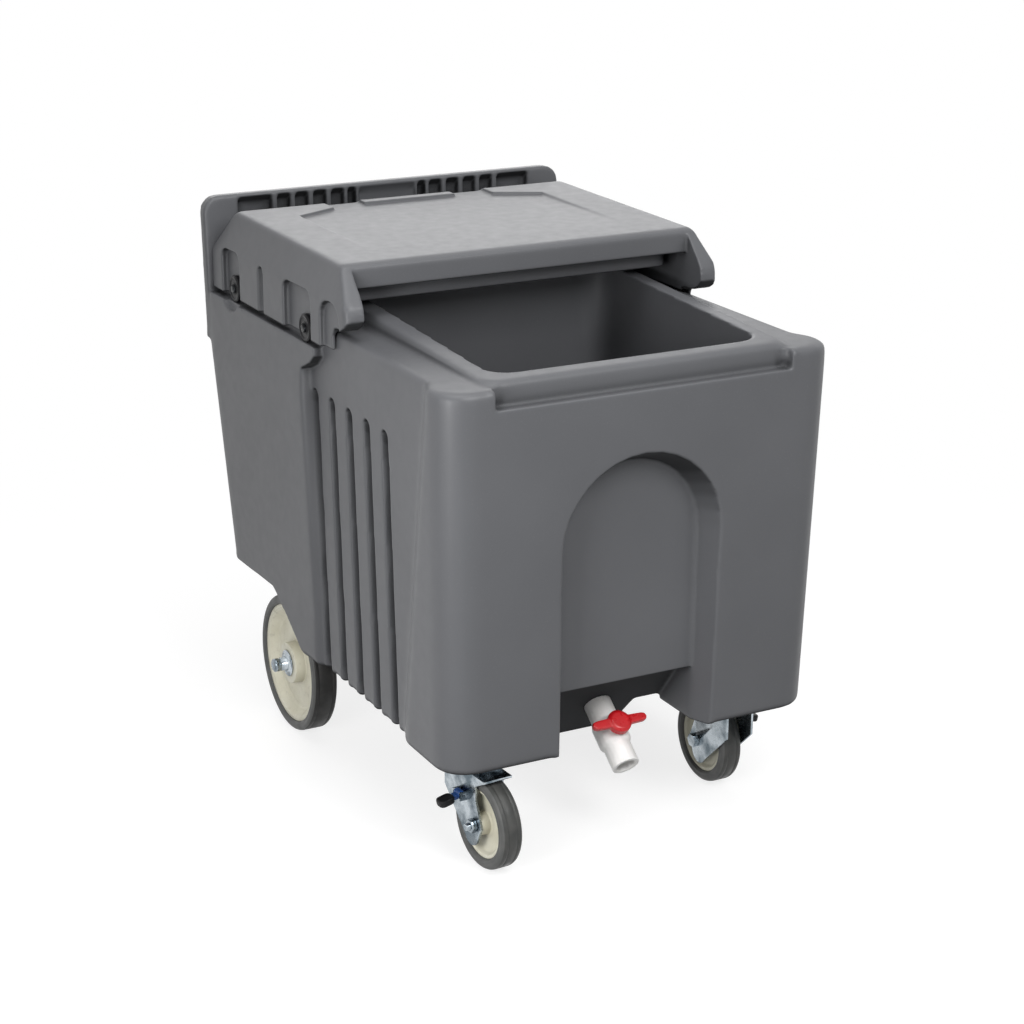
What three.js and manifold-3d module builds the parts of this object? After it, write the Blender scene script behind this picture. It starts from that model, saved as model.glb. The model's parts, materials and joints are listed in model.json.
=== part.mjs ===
// Mobile ice bin: a moulded, insulated bin on two fixed rear wheels and two braked swivel casters, with a
// sliding lid that runs on rollers, a push handle moulded on the rear wall and a drain valve at the front.
// Millimetres, +Z up, the front faces -Y, the floor is z = 0 and the width runs along X.
import * as THREE from "three";
import { mergeVertices } from "three/addons/utils/BufferGeometryUtils.js";
import Module from "manifold-3d";

const wasm = await Module();
wasm.setup();

// Clearances and helpers for cuts
const GAP = 0.3; // between two pieces that touch
const FIT = 0.4; // radial play of a shaft in its hole
const OVERRUN = 6; // how far a cutter reaches past a face
const SINK = 4; // how far a joined shape reaches into its neighbour
const WELD = 0.001; // distance within which two corners are one

// Facets of round forms
const ARC_STEPS = 4;
const ARCH_STEPS = 16;
const EDGE_STEPS = 3;
const WHEEL_FACETS = 24;
const CASTER_FACETS = 20;
const ROD_FACETS = 12;
const SMALL_FACETS = 8;

// Body: outer form
const FRONT_Y = -400; // front wall at deck height
const REAR_Y = 404; // rear wall above its kink
const BOTTOM_Z = 152; // underside of the two side pontoons
const TRACK_Z = 641; // running surface of the lid rollers, beside the deck
const DECK_RISE = 30; // of the deck above the track
const DECK_Z = TRACK_Z + DECK_RISE;
const EDGE_R = 8; // rounding of the top and bottom edges
const FRONT_DRAFT = 10; // how far the front wall draws in down to the bottom
const SIDE_DRAFT = 9;
const COLUMN_HALF = 290; // half width over the front columns
const FRONT_CORNER_R = 42;
const BAY_INSET = 13; // depth of the fluted side bays
const STEP_Y = 46; // rear end of a side bay
const STEP_R = 3;
const STEP_OUT = 1; // how far the side behind the step stands out past the columns
const STEP_HALF = COLUMN_HALF + STEP_OUT;
const REAR_OUT = 6; // and the rear corners past that
const REAR_HALF = STEP_HALF + REAR_OUT;
const REAR_CORNER_R = 28;
const REAR_SIDE_DRAFT = 14;
const REAR_KINK_DROP = 85;
const REAR_KINK_Z = TRACK_Z - REAR_KINK_DROP; // below this height the rear wall leans in
const REAR_BOTTOM_Z = 225;
const REAR_LEAN = 39;
const FLARE_TOP_Y = -350; // front end of the curve between column and bay, at the top
const FLARE_BOTTOM_Y = -263; // and at the bottom
const FLARE_LENGTH = 38;

// Body: tracks for the lid rollers
const TRACK_LENGTH = 46; // part of the track that stands out ahead of the step
const TRACK_NOSE_DEPTH = 12;
const TRACK_NOSE_HEIGHT = 41;
const TRACK_SCOOP_R = 33;
const TRACK_SCOOP_DEPTH = 5;

// Body: well, rim and front notch
const WELL_SIDE = 90; // from the column's face to the well, at the rim
const WELL_HALF = COLUMN_HALF - WELL_SIDE;
const WELL_FRONT_Y = -353;
const WELL_REAR_Y = 68;
const WELL_FLOOR_Z = 250;
const WELL_TAPER = 24; // how far each wall comes in down to the shelf
const WELL_R = 34;
const WELL_FLOOR_R = 14;
const SHELF_Z = 286; // ledge that carries the drain shelf
const SHELF_LEDGE = 10;
const RIM_WALL = 27;
const RIM_FRONT_WALL = 31;
const RIM_RISE = 6; // of the rim's front above the deck
const RIM_FRONT_Z = DECK_Z + RIM_RISE;
const RIM_RISE_DEG = 2.65;
const RIM_R = 7; // rounding of the rim's upper edge
const RIM_CORNER_R = 26;
const NOTCH_MARGIN = 19; // how far the notch reaches past the well on each side
const NOTCH_HALF = WELL_HALF + NOTCH_MARGIN;
const NOTCH_REAR_Y = -383;
const NOTCH_DEPTH = 26;
const NOTCH_Z = DECK_Z - NOTCH_DEPTH;
const NOTCH_R = 9;

// Body: arched front recess, with the drain face under it, and the underside between the pontoons
const ARCH_HALF = 122; // at the front face
const ARCH_BACK_HALF = 104;
const ARCH_CENTRE_Z = 439;
const ARCH_BACK_Y = -358;
const ARCH_FOOT_Z = 231; // lower edge of the recess's back wall
const CHANNEL_HALF = 112;
const CHANNEL_Z = 161;
const CHANNEL_R = 8;

// Body: sump that hangs below the underside and carries the drain
const SUMP_HALF = 60; // at its bottom
const SUMP_Z = 108;
const SUMP_DRAFT = 15; // how far its sides and its rear draw in down to the bottom
const SUMP_REAR_Y = -118; // at the underside
const SUMP_R = 14;
const SUMP_EDGE_R = 7;

// Body: flutes of the side bays
const FLUTE_COUNT = 5;
const FLUTE_R = 10;
const FLUTE_DROP = 68; // from the track down to the upper ends
const FLUTE_TOP_Z = TRACK_Z - FLUTE_DROP;
const FLUTE_REAR_Y = 34;
const FLUTE_PITCH = 56.8;
const FLUTE_LEAN = 9; // how far a flute runs forward down to the bottom

// Body: handle panel
const PANEL_FRONT_Y = 382;
const PANEL_RISE = 112; // above the deck
const PANEL_TOP_Z = DECK_Z + PANEL_RISE;
const PANEL_OUT = 3; // past the rear corners
const PANEL_HALF = REAR_HALF + PANEL_OUT;
const PANEL_R = 25;
const PANEL_EDGE_R = 4;
const PANEL_FOOT_RISE = 10;
const PANEL_FOOT_Z = REAR_KINK_Z + PANEL_FOOT_RISE;
const GRIP_DEPTH = 15;
const GRIP_LIP = 4; // from the panel's top to the recesses
const GRIP_BAR = 14; // height of the round bar that the hand closes round
const GRIP_ROOM = 27; // height of a recess under the bar
const GRIP_TOP_Z = PANEL_TOP_Z - GRIP_LIP;
const GRIP_BAR_Z = GRIP_TOP_Z - GRIP_BAR;
const GRIP_BOTTOM_Z = GRIP_BAR_Z - GRIP_ROOM;
const GRIP_CENTRE_HALF = 48;
const GRIP_CENTRE_DEPTH = 6; // of the shallow recess in the middle
const GRIP_FIRST_LAND = 4;
const GRIP_FIRST_LENGTH = 14; // narrow recess beside the middle one
const GRIP_FINGER_START = 72; // from the middle of the panel
const GRIP_FINGER_PITCH = 29.5;
const GRIP_FINGER_LAND = 8;
const GRIP_FINGERS = 4;
const GRIP_PALM_LENGTH = 55;

// Rear wheels and axle, with a push nut that holds each wheel
const REAR_WHEEL_R = 104;
const REAR_WHEEL_Y = 188;
const REAR_WHEEL_INSET = 24; // of the tyre's outer face from the column's face
const REAR_WHEEL_FACE_X = COLUMN_HALF - REAR_WHEEL_INSET;
const REAR_TYRE_WIDTH = 38;
const REAR_TYRE_DEPTH = 14;
const REAR_TYRE_SHOULDER = 8;
const REAR_RIM_WIDTH = 31;
const REAR_RIM_DEPTH = 9;
const REAR_WEB = 12;
const REAR_BOSS_R = 31;
const REAR_BOSS_INNER_R = 20;
const REAR_BOSS_SINK = 1; // how far the boss ends inside the tyre's outer face
const AXLE_R = 10;
const AXLE_OUT = 23; // past the tyre's outer face
const AXLE_END_X = REAR_WHEEL_FACE_X + AXLE_OUT;
const AXLE_CHAMFER = 2;
const PUSH_NUT_R = 20;
const PUSH_NUT_THICKNESS = 4;
const PUSH_NUT_DISH_R = 14;

// Body: wheel arches and axle legs
const WHEEL_ROOM = 8; // between tyre and wheel arch
const WHEEL_SIDE_ROOM = 3;
const LEG_WIDTH = 72;
const LEG_ROOM = 6; // between a leg and the tyre
const LEG_OUTER_X = REAR_WHEEL_FACE_X - REAR_TYRE_WIDTH - LEG_ROOM;
const LEG_INNER_X = LEG_OUTER_X - LEG_WIDTH;
const LEG_TOP_HALF = 62; // half length of a leg where it leaves the body
const LEG_END_R = 26;
const LEG_TOP_Z = REAR_BOTTOM_Z + SINK;
const ARCH_EDGE_FRONT_Y = 98; // front end of the curved wheel-arch edge
const ARCH_EDGE_REAR_Y = 198;

// Sliding lid, drawn in its open position
const LID_FRONT_Y = -64; // front edge of the top
const LID_REAR_TOP_Y = 323;
const LID_REAR_Y = 380;
const LID_RISE = 125; // of its top's front edge above the track
const LID_FRONT_Z = TRACK_Z + LID_RISE;
const LID_REAR_RISE = 5; // of its top's rear edge above the front edge
const LID_REAR_Z = LID_FRONT_Z + LID_REAR_RISE;
const LID_REAR_EDGE_DROP = 60;
const LID_REAR_EDGE_Z = LID_REAR_Z - LID_REAR_EDGE_DROP; // upper end of the plumb rear wall
const LID_SIDE_SETBACK = 0.5; // behind the side of the track
const LID_HALF = STEP_HALF - LID_SIDE_SETBACK;
const LID_LEAN = 16.5; // how far each side leans in up to the top
const LID_TOP_HALF = LID_HALF - LID_LEAN;
const LID_SHOULDER_DROP = 51;
const LID_SHOULDER_Z = LID_FRONT_Z - LID_SHOULDER_DROP; // the sides lean above this height
const LID_EDGE_R = 9;
const LID_WALL = 29; // thickness of the side walls above the deck
const LID_REAR_WALL = 14;
const LID_SLAB = 34; // thickness of the top slab at its front
const LID_SLAB_Z = LID_FRONT_Z - LID_SLAB;
const LID_PLUG = 26; // height of the plug panel under the slab
const LID_PLUG_Z = LID_SLAB_Z - LID_PLUG;
const LID_PLUG_ROOM = 6.5; // between the plug panel and the side walls
const LID_PLUG_HALF = LID_HALF - LID_WALL - LID_PLUG_ROOM;
const LID_PLUG_FRONT_Y = -30;
const LID_PLUG_REAR_Y = 330;
const LID_PLUG_R = 20;
const LID_DECK_CLEARANCE = 3;
const SKIRT_WALL = 12.5;
const SKIRT_CLEARANCE = 7; // over the track
const SKIRT_BOTTOM_Z = TRACK_Z + SKIRT_CLEARANCE;
const SKIRT_FRONT_Y = -48;
const SKIRT_LEG_R = 12;
const CHEEK_CLEARANCE = 11; // over the deck
const CHEEK_BOTTOM_Z = DECK_Z + CHEEK_CLEARANCE;
const NOSE_Y = -106;
const NOSE_RISE = 25; // of the nose above the cheek's underside
const NOSE_Z = CHEEK_BOTTOM_Z + NOSE_RISE;
const NOSE_R = 9;
const NOSE_TUCK = 8; // how far the nose draws in sideways at its tip
const FASCIA_SETBACK = 2;
const TOP_PANEL_BORDER = 74;
const TOP_PANEL_HALF = LID_TOP_HALF - TOP_PANEL_BORDER;
const TOP_PANEL_FRONT_Y = -20;
const TOP_PANEL_SIDE_Y = 252;
const TOP_PANEL_WAIST_Y = 285;
const TOP_PANEL_WAIST_HALF = 132;
const TOP_PANEL_TAB_HALF = 75;
const TOP_PANEL_TAB_Y = 300;
const TOP_PANEL_DEPTH = 4;
const TOP_PANEL_FADE_Y = 6; // the recess runs out to nothing here

// Lid rollers
const ROLLER_R = 20;
const ROLLER_WIDTH = 8;
const ROLLER_SETBACK = 1; // behind the side of the lid
const ROLLER_FACE_X = LID_HALF - ROLLER_SETBACK;
const ROLLER_Z = TRACK_Z + GAP + ROLLER_R;
const ROLLER_REAR_Y = 298;
const ROLLER_FRONT_Y = 35;
const ROLLER_EDGE = 1.5;
const ROLLER_BOLT_R = 4;
const ROLLER_HEAD_R = 7.5;
const ROLLER_HEAD = 2;
const POCKET_DEPTH = 9.2; // of the panels recessed into the skirt
const POCKET_HEIGHT = 68; // above the skirt's lower edge
const POCKET_TOP_Z = SKIRT_BOTTOM_Z + POCKET_HEIGHT;
const POCKET_R = 14;
const REAR_POCKET_FRONT_Y = 272;
const REAR_POCKET_REAR_Y = 340;
const FRONT_POCKET_FRONT_Y = 11;
const FRONT_POCKET_REAR_Y = 106;
const NOSE_POCKET_FRONT_Y = -84;
const NOSE_POCKET_REAR_Y = -22;
const NOSE_POCKET_DEPTH = 7;
const NOSE_POCKET_R = 26;
const SKIRT_FLUTE_Y = 190;
const SKIRT_FLUTE_R = 9;

// Drain shelf
const SHELF_THICKNESS = 5;
const SHELF_PLAY = 1.5;
const SHELF_COLUMN_COUNT = 3;
const SHELF_ROW_COUNT = 6;
const SHELF_SLOT_WIDTH = 12;
const SHELF_SLOT_LAND = 26;
const SHELF_BORDER = 34;
const SHELF_NOTCH_LENGTH = 104; // finger notches in the middle of its front and rear edges
const SHELF_NOTCH_DEPTH = 66;
const SHELF_NOTCH_R = 10;

// Drain: a slanting bore, a nipple and a ball valve, drawn along -Y and then tilted
const DRAIN_Y = -284; // inlet end of the valve
const DRAIN_Z = 169;
const DRAIN_TILT_DEG = 37.4;
const DRAIN_LENGTH = 150; // of the bore up to the floor of the well
const NIPPLE_R = 13.5;
const NIPPLE_BORE_R = 9.5;
const NIPPLE_IN = 30; // reach into the body
const NIPPLE_OUT = 20; // reach into the valve
const VALVE_LENGTH = 102;
const VALVE_R = 19.5;
const VALVE_BELLY_R = 23;
const VALVE_BELLY = 40;
const VALVE_SHOULDER = 5;
const VALVE_BORE_R = 11;
const BALL_R = 15;
const BALL_BORE_R = 9;
const BALL_SLOT = 4;
const STEM_R = 5;
const STEM_BOSS_R = 11;
const STEM_BOSS_HEIGHT = 27;
const HANDLE_HUB_R = 17;
const HANDLE_HUB = 12;
const HANDLE_HALF_LENGTH = 42;
const HANDLE_ROOT = 15;
const HANDLE_TIP = 12;
const HANDLE_WING = 8;
const HANDLE_EDGE = 1.5;

// Casters, drawn round their swivel axis with the wheel trailing towards +Y and the brake towards +X
const CASTER_INSET = 84; // of the swivel axis from the column's face
const CASTER_X = COLUMN_HALF - CASTER_INSET;
const CASTER_Y = -302;
const CASTER_TRAIL = 49;
const LEFT_CASTER_TURN_DEG = 184;
const CASTER_R = 63.5;
const CASTER_TYRE_WIDTH = 32;
const CASTER_TYRE_DEPTH = 15;
const CASTER_SHOULDER = 7;
const CASTER_RIM_DEPTH = 6;
const CASTER_RIM_WIDTH = 24;
const CASTER_WEB = 9;
const CASTER_BOSS_R = 15;
const PLATE_HALF_X = 33;
const PLATE_HALF_Y = 47;
const PLATE_THICKNESS = 3;
const PLATE_R = 9;
const PLATE_BOLT_X = 24;
const PLATE_BOLT_Y = 38;
const RACE_R = 25;
const RACE_HEIGHT = 9;
const FORK_SHEET = 3;
const FORK_CROWN_R = 27;
const FORK_CROWN_HEIGHT = 5;
const FORK_PLAY = 3; // between tyre and fork leg
const FORK_HEAD_Y = -29; // end of a leg's top, on the swivel's far side from the wheel
const FORK_CHEEK_Y = 51; // the other end
const FORK_BRIDGE_Y = 72; // how far the bridge reaches over the wheel
const FORK_LIP = 7; // height of the bridge's turned-down end
const FORK_TOE_Z = 31; // lower end of a leg, below the axle
const FORK_TOE_R = 17;
const FORK_TOE_FROM_DEG = 205;
const FORK_TOE_TO_DEG = 340;
const KINGPIN_R = 6;
const KINGPIN_HEAD_R = 10;
const KINGPIN_HEAD = 3;
const CASTER_AXLE_R = 5;
const CASTER_HEAD_R = 10;
const CASTER_HEAD = 8;
const CASTER_AXLE_TIP = 6; // past the nut
const BOLT_R = 4;
const BOLT_HEAD_R = 7;
const BOLT_HEAD = 5;
const BOLT_REACH = 16; // into the body

// Caster brake, on the outer leg of the fork
const BRAKE_Y = 22;
const BRAKE_Z = 100;
const BRAKE_BARREL_R = 6;
const BRAKE_BARREL_LENGTH = 15;
const BRAKE_EAR = 2.5;
const BRAKE_PIN_R = 2;
const PEDAL_LENGTH = 23;
const PEDAL_WIDTH = 19;
const PEDAL_THICKNESS = 10;
const PEDAL_DROP_DEG = 12;
const PEDAL_NECK = 5;

const RADIANS = Math.PI / 180;
const V = (x, y, z) => new THREE.Vector3(x, y, z);

// A solid that is the same on both sides, made from its left half
function bothSides(solid) {
  const half = solid.trimByPlane([-1, 0, 0], 0);
  return half.add(half.mirror([1, 0, 0]));
}

// Plain mesh arrays made into a solid with its faces outwards
function solidOf(geometry) {
  const bare = new THREE.BufferGeometry();
  bare.setAttribute("position", geometry.getAttribute("position"));
  if (geometry.index) bare.setIndex(geometry.index);
  const merged = mergeVertices(bare, WELD);
  const points = merged.attributes.position.array;
  const faces = [];
  let volume = 0;
  const at = (i) => V(points[3 * i], points[3 * i + 1], points[3 * i + 2]);
  for (let i = 0; i < merged.index.count; i += 3) {
    const [a, b, c] = [0, 1, 2].map((k) => merged.index.getX(i + k));
    if (a === b || b === c || c === a) continue;
    faces.push([a, b, c]);
    volume += at(a).dot(at(b).cross(at(c)));
  }
  const outward = volume < 0 ? faces.map(([a, b, c]) => [a, c, b]) : faces;
  return new wasm.Manifold(
    new wasm.Mesh({
      numProp: 3,
      vertProperties: new Float32Array(points),
      triVerts: new Uint32Array(outward.flat()),
    }),
  );
}

function geometryOf(solid) {
  const mesh = solid.getMesh();
  const geometry = new THREE.BufferGeometry();
  geometry.setAttribute("position", new THREE.BufferAttribute(mesh.vertProperties, 3));
  geometry.setIndex(new THREE.BufferAttribute(mesh.triVerts, 1));
  return geometry;
}

const joined = (solids) => solids.reduce((whole, next) => whole.add(next));
const cutBy = (solid, cutters) => cutters.reduce((rest, cutter) => rest.subtract(cutter), solid);

// A closed skin through rings of as many points each; flat gives a ring's points in its own plane
function loft(rings, flat = (p) => new THREE.Vector2(p.x, p.y)) {
  const size = rings[0].length;
  const positions = rings.flat().flatMap((p) => [p.x, p.y, p.z]);
  const faces = [];
  for (let r = 0; r + 1 < rings.length; r++)
    for (let i = 0; i < size; i++) {
      const [a, b] = [r * size + i, r * size + ((i + 1) % size)];
      faces.push(a, b, b + size, a, b + size, a + size);
    }
  const last = (rings.length - 1) * size;
  for (const [a, b, c] of THREE.ShapeUtils.triangulateShape(rings[0].map(flat), []))
    faces.push(c, b, a);
  for (const [a, b, c] of THREE.ShapeUtils.triangulateShape(rings.at(-1).map(flat), []))
    faces.push(last + a, last + b, last + c);
  const geometry = new THREE.BufferGeometry();
  geometry.setAttribute("position", new THREE.Float32BufferAttribute(positions, 3));
  geometry.setIndex(faces);
  return solidOf(geometry);
}

// Prisms of an outline along one axis, from one place on it to another
function prism(points, from, to, basis, bevel) {
  const shape = new THREE.Shape(points.map(([u, v]) => new THREE.Vector2(u, v)));
  const round = bevel
    ? { bevelEnabled: true, bevelThickness: bevel, bevelSize: bevel, bevelOffset: -bevel, bevelSegments: 2 }
    : { bevelEnabled: false };
  const trim = bevel ?? 0;
  const [low, high] = [Math.min(from, to) + trim, Math.max(from, to) - trim];
  const geometry = new THREE.ExtrudeGeometry(shape, { depth: high - low, ...round });
  geometry.translate(0, 0, low);
  geometry.applyMatrix4(basis);
  return solidOf(geometry);
}
const ALONG_X = new THREE.Matrix4().makeBasis(V(0, 1, 0), V(0, 0, 1), V(1, 0, 0));
const ALONG_Y = new THREE.Matrix4().makeBasis(V(1, 0, 0), V(0, 0, 1), V(0, 1, 0));
const ALONG_Z = new THREE.Matrix4();
const prismX = (points, from, to, bevel) => prism(points, from, to, ALONG_X, bevel);
const prismY = (points, from, to, bevel) => prism(points, from, to, ALONG_Y, bevel);
const prismZ = (points, from, to, bevel) => prism(points, from, to, ALONG_Z, bevel);
const rectangle = (u0, u1, v0, v1) => [[u0, v0], [u1, v0], [u1, v1], [u0, v1]];

// A rod, cone or round-ended rod from one point to another
function placedBetween(geometry, a, b) {
  const middle = a.clone().add(b).multiplyScalar(0.5);
  const turn = new THREE.Quaternion().setFromUnitVectors(V(0, 1, 0), b.clone().sub(a).normalize());
  geometry.applyMatrix4(new THREE.Matrix4().compose(middle, turn, V(1, 1, 1)));
  return solidOf(geometry);
}
function rod(a, b, radius, facets = ROD_FACETS, startRadius = radius) {
  return placedBetween(new THREE.CylinderGeometry(radius, startRadius, a.distanceTo(b), facets), a, b);
}
function capsule(a, b, radius, facets = ROD_FACETS) {
  return placedBetween(new THREE.CapsuleGeometry(radius, a.distanceTo(b), 3, facets), a, b);
}

// A ring or disc turned round the X axis from [x, radius] points
function turnedX(profile, facets) {
  const points = profile.map(([x, radius]) => new THREE.Vector2(radius, x));
  const geometry = new THREE.LatheGeometry([...points, points[0]], facets);
  geometry.rotateZ(-Math.PI / 2);
  return solidOf(geometry);
}
// The same for a wheel that stands on one of its facets, which touch the true circle from outside
function wheelX(profile, facets) {
  const outside = 1 / Math.cos(Math.PI / facets);
  const points = profile.map(([x, radius]) => new THREE.Vector2(radius * outside, x));
  const geometry = new THREE.LatheGeometry([...points, points[0]], facets);
  geometry.rotateZ(-Math.PI / 2);
  geometry.rotateX(Math.PI / facets);
  return solidOf(geometry);
}
function turnedZ(profile, facets) {
  const points = profile.map(([z, radius]) => new THREE.Vector2(radius, z));
  const geometry = new THREE.LatheGeometry([...points, points[0]], facets);
  geometry.rotateX(Math.PI / 2);
  return solidOf(geometry);
}

// Points of a quarter turn round a centre, from one angle to another in degrees
function arc(cu, cv, radius, from, to, steps = ARC_STEPS) {
  return Array.from({ length: steps + 1 }, (_, i) => {
    const angle = (from + ((to - from) * i) / steps) * RADIANS;
    return [cu + radius * Math.cos(angle), cv + radius * Math.sin(angle)];
  });
}
function roundedRectangle(u0, u1, v0, v1, r, steps = ARC_STEPS) {
  return [
    ...arc(u1 - r, v0 + r, r, -90, 0, steps),
    ...arc(u1 - r, v1 - r, r, 0, 90, steps),
    ...arc(u0 + r, v1 - r, r, 90, 180, steps),
    ...arc(u0 + r, v0 + r, r, 180, 270, steps),
  ];
}
const edgeInset = (r, i) => r * (1 - Math.sin((i / EDGE_STEPS) * (Math.PI / 2)));
const edgeRise = (r, i) => r * (1 - Math.cos((i / EDGE_STEPS) * (Math.PI / 2)));

// How far down its run from high to low a height lies, from 0 to 1
const fall = (z, high, low) => THREE.MathUtils.clamp((high - z) / (high - low), 0, 1);
const wallDraw = (z) => fall(z, TRACK_Z, BOTTOM_Z);
const bayHalf = (z) => COLUMN_HALF - BAY_INSET - SIDE_DRAFT * wallDraw(z);

// Outline of the body at one height, drawn in by the inset; the strip behind the step can be set back
function bodyOutline(z, inset, aboveTrack) {
  const column = COLUMN_HALF - SIDE_DRAFT * wallDraw(z) - inset;
  const bay = column - BAY_INSET;
  const front = FRONT_Y + FRONT_DRAFT * wallDraw(z) + inset;
  const lean = fall(z, REAR_KINK_Z, REAR_BOTTOM_Z);
  const rear = REAR_Y - REAR_LEAN * lean - inset;
  const behindStep = aboveTrack ? bay : STEP_HALF - REAR_SIDE_DRAFT * lean - inset;
  const rearHalf = aboveTrack ? bay : REAR_HALF - REAR_SIDE_DRAFT * lean - inset;
  const flare = THREE.MathUtils.lerp(FLARE_TOP_Y, FLARE_BOTTOM_Y, wallDraw(z));
  const half = [
    ...arc(column - FRONT_CORNER_R, front + FRONT_CORNER_R, FRONT_CORNER_R, -90, 0),
  ];
  for (let i = 0; i <= ARC_STEPS; i++) {
    const t = i / ARC_STEPS;
    const ease = (1 - Math.cos(Math.PI * t)) / 2;
    half.push([column - BAY_INSET * ease, flare + FLARE_LENGTH * t]);
  }
  const soft = Math.min(STEP_R, (behindStep - bay) / 2);
  half.push([bay, STEP_Y - STEP_R], [behindStep - soft, STEP_Y], [behindStep, STEP_Y + STEP_R]);
  half.push(...arc(rearHalf - REAR_CORNER_R, rear - REAR_CORNER_R, REAR_CORNER_R, 0, 90));
  const mirrored = half.map(([x, y]) => [-x, y]).reverse();
  return [...half, ...mirrored].map(([x, y]) => V(x, y, z));
}

function bodyShell() {
  const rings = [];
  for (let i = 0; i <= EDGE_STEPS; i++)
    rings.push(bodyOutline(BOTTOM_Z + edgeRise(EDGE_R, i), edgeInset(EDGE_R, i), false));
  rings.push(bodyOutline(REAR_BOTTOM_Z, 0, false));
  rings.push(bodyOutline(REAR_KINK_Z, 0, false));
  rings.push(bodyOutline(TRACK_Z, 0, false));
  rings.push(bodyOutline(TRACK_Z, 0, true));
  for (let i = EDGE_STEPS; i >= 0; i--)
    rings.push(bodyOutline(DECK_Z - edgeRise(EDGE_R, i), edgeInset(EDGE_R, i), true));
  return loft(rings);
}

// A rounded tub or block through [z, inset] stations, on a plan that may slope up to the rear
function tub(plan, stations, slope = 0) {
  return loft(
    stations.map(([z, inset]) =>
      roundedRectangle(
        -plan.half + inset,
        plan.half - inset,
        plan.front + inset,
        plan.rear - inset,
        Math.max(plan.r - inset / 2, plan.r / 2),
      ).map(([x, y]) => V(x, y, z + slope * (y - plan.front))),
    ),
  );
}
const RIM_SLOPE = Math.tan(RIM_RISE_DEG * RADIANS);
const WELL_PLAN = { half: WELL_HALF, front: WELL_FRONT_Y, rear: WELL_REAR_Y, r: WELL_R };
const RIM_PLAN = {
  half: WELL_HALF + RIM_WALL,
  front: WELL_FRONT_Y - RIM_FRONT_WALL,
  rear: WELL_REAR_Y + RIM_WALL,
  r: RIM_CORNER_R,
};

function rimBlock() {
  const stations = [[NOTCH_Z - SINK - (WELL_REAR_Y - WELL_FRONT_Y) * RIM_SLOPE, 0]];
  for (let i = EDGE_STEPS; i >= 0; i--)
    stations.push([RIM_FRONT_Z - edgeRise(RIM_R, i), edgeInset(RIM_R, i)]);
  return tub(RIM_PLAN, stations, RIM_SLOPE);
}

function wellCutters() {
  const top = RIM_FRONT_Z + (RIM_PLAN.rear - RIM_PLAN.front) * RIM_SLOPE;
  const main = tub(WELL_PLAN, [
    [SHELF_Z, WELL_TAPER],
    [RIM_FRONT_Z, 0],
    [top + OVERRUN, 0],
  ]);
  const floor = WELL_TAPER + SHELF_LEDGE;
  const sump = tub(WELL_PLAN, [
    [WELL_FLOOR_Z, floor + WELL_FLOOR_R],
    [WELL_FLOOR_Z + WELL_FLOOR_R / 3, floor + WELL_FLOOR_R / 3],
    [WELL_FLOOR_Z + WELL_FLOOR_R, floor],
    [SHELF_Z + OVERRUN, floor],
  ]);
  return [main, sump];
}

// The drain's own frame: local -Y runs out and down, local Z is the side that the handle is on
const DRAIN_FRAME = new THREE.Matrix4().compose(
  V(0, DRAIN_Y, DRAIN_Z),
  new THREE.Quaternion().setFromAxisAngle(V(1, 0, 0), DRAIN_TILT_DEG * RADIANS),
  V(1, 1, 1),
);
const alongDrain = (distance) => V(0, -distance, 0).applyMatrix4(DRAIN_FRAME);

// Where the face that the drain leaves at a right angle lies, at one height
const drainFaceY = (z) => DRAIN_Y + GAP - (z - DRAIN_Z) * Math.tan(DRAIN_TILT_DEG * RADIANS);

// The arch as seen from the front, at one depth
function archRing(y) {
  const perDepth = (ARCH_HALF - ARCH_BACK_HALF) / (ARCH_BACK_Y - FRONT_Y);
  const half = ARCH_BACK_HALF + perDepth * (ARCH_BACK_Y - y);
  const foot = BOTTOM_Z - OVERRUN;
  const points = [...arc(0, ARCH_CENTRE_Z, half, 0, 180, ARCH_STEPS), [-half, foot], [half, foot]];
  return points.map(([x, z]) => V(x, y, z));
}

function frontCutters() {
  const arch = loft([archRing(FRONT_Y - OVERRUN), archRing(ARCH_BACK_Y)], (p) => new THREE.Vector2(p.x, p.z));
  const slant = prismX(
    [
      [FRONT_Y - OVERRUN, BOTTOM_Z - OVERRUN],
      [drainFaceY(BOTTOM_Z - OVERRUN), BOTTOM_Z - OVERRUN],
      [drainFaceY(ARCH_FOOT_Z), ARCH_FOOT_Z],
      [FRONT_Y - OVERRUN, ARCH_FOOT_Z],
    ],
    -ARCH_BACK_HALF,
    ARCH_BACK_HALF,
  );
  const channel = prismY(
    roundedRectangle(-CHANNEL_HALF, CHANNEL_HALF, BOTTOM_Z - CHANNEL_HALF, CHANNEL_Z, CHANNEL_R, 3),
    drainFaceY(BOTTOM_Z) - OVERRUN,
    REAR_Y + OVERRUN,
  );
  const notch = prismZ(
    roundedRectangle(-NOTCH_HALF, NOTCH_HALF, FRONT_Y - FRONT_CORNER_R, NOTCH_REAR_Y, NOTCH_R),
    NOTCH_Z,
    DECK_Z + OVERRUN,
  );
  return [arch, slant, channel, notch];
}

// The sump: its front lies in the drain face, its other sides are drafted
function sump() {
  const top = CHANNEL_Z + SINK;
  const ring = (z, inset) => {
    const draft = SUMP_DRAFT * (1 - fall(z, top, SUMP_Z));
    const half = SUMP_HALF + draft - inset;
    const rear = SUMP_REAR_Y - SUMP_DRAFT * 2 + draft * 2 - inset;
    return roundedRectangle(-half, half, drainFaceY(z) + inset, rear, SUMP_R, 3).map(([x, y]) => V(x, y, z));
  };
  const rings = [];
  for (let i = 0; i <= EDGE_STEPS; i++)
    rings.push(ring(SUMP_Z + edgeRise(SUMP_EDGE_R, i), edgeInset(SUMP_EDGE_R, i)));
  rings.push(ring(top, 0));
  return loft(rings);
}

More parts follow.
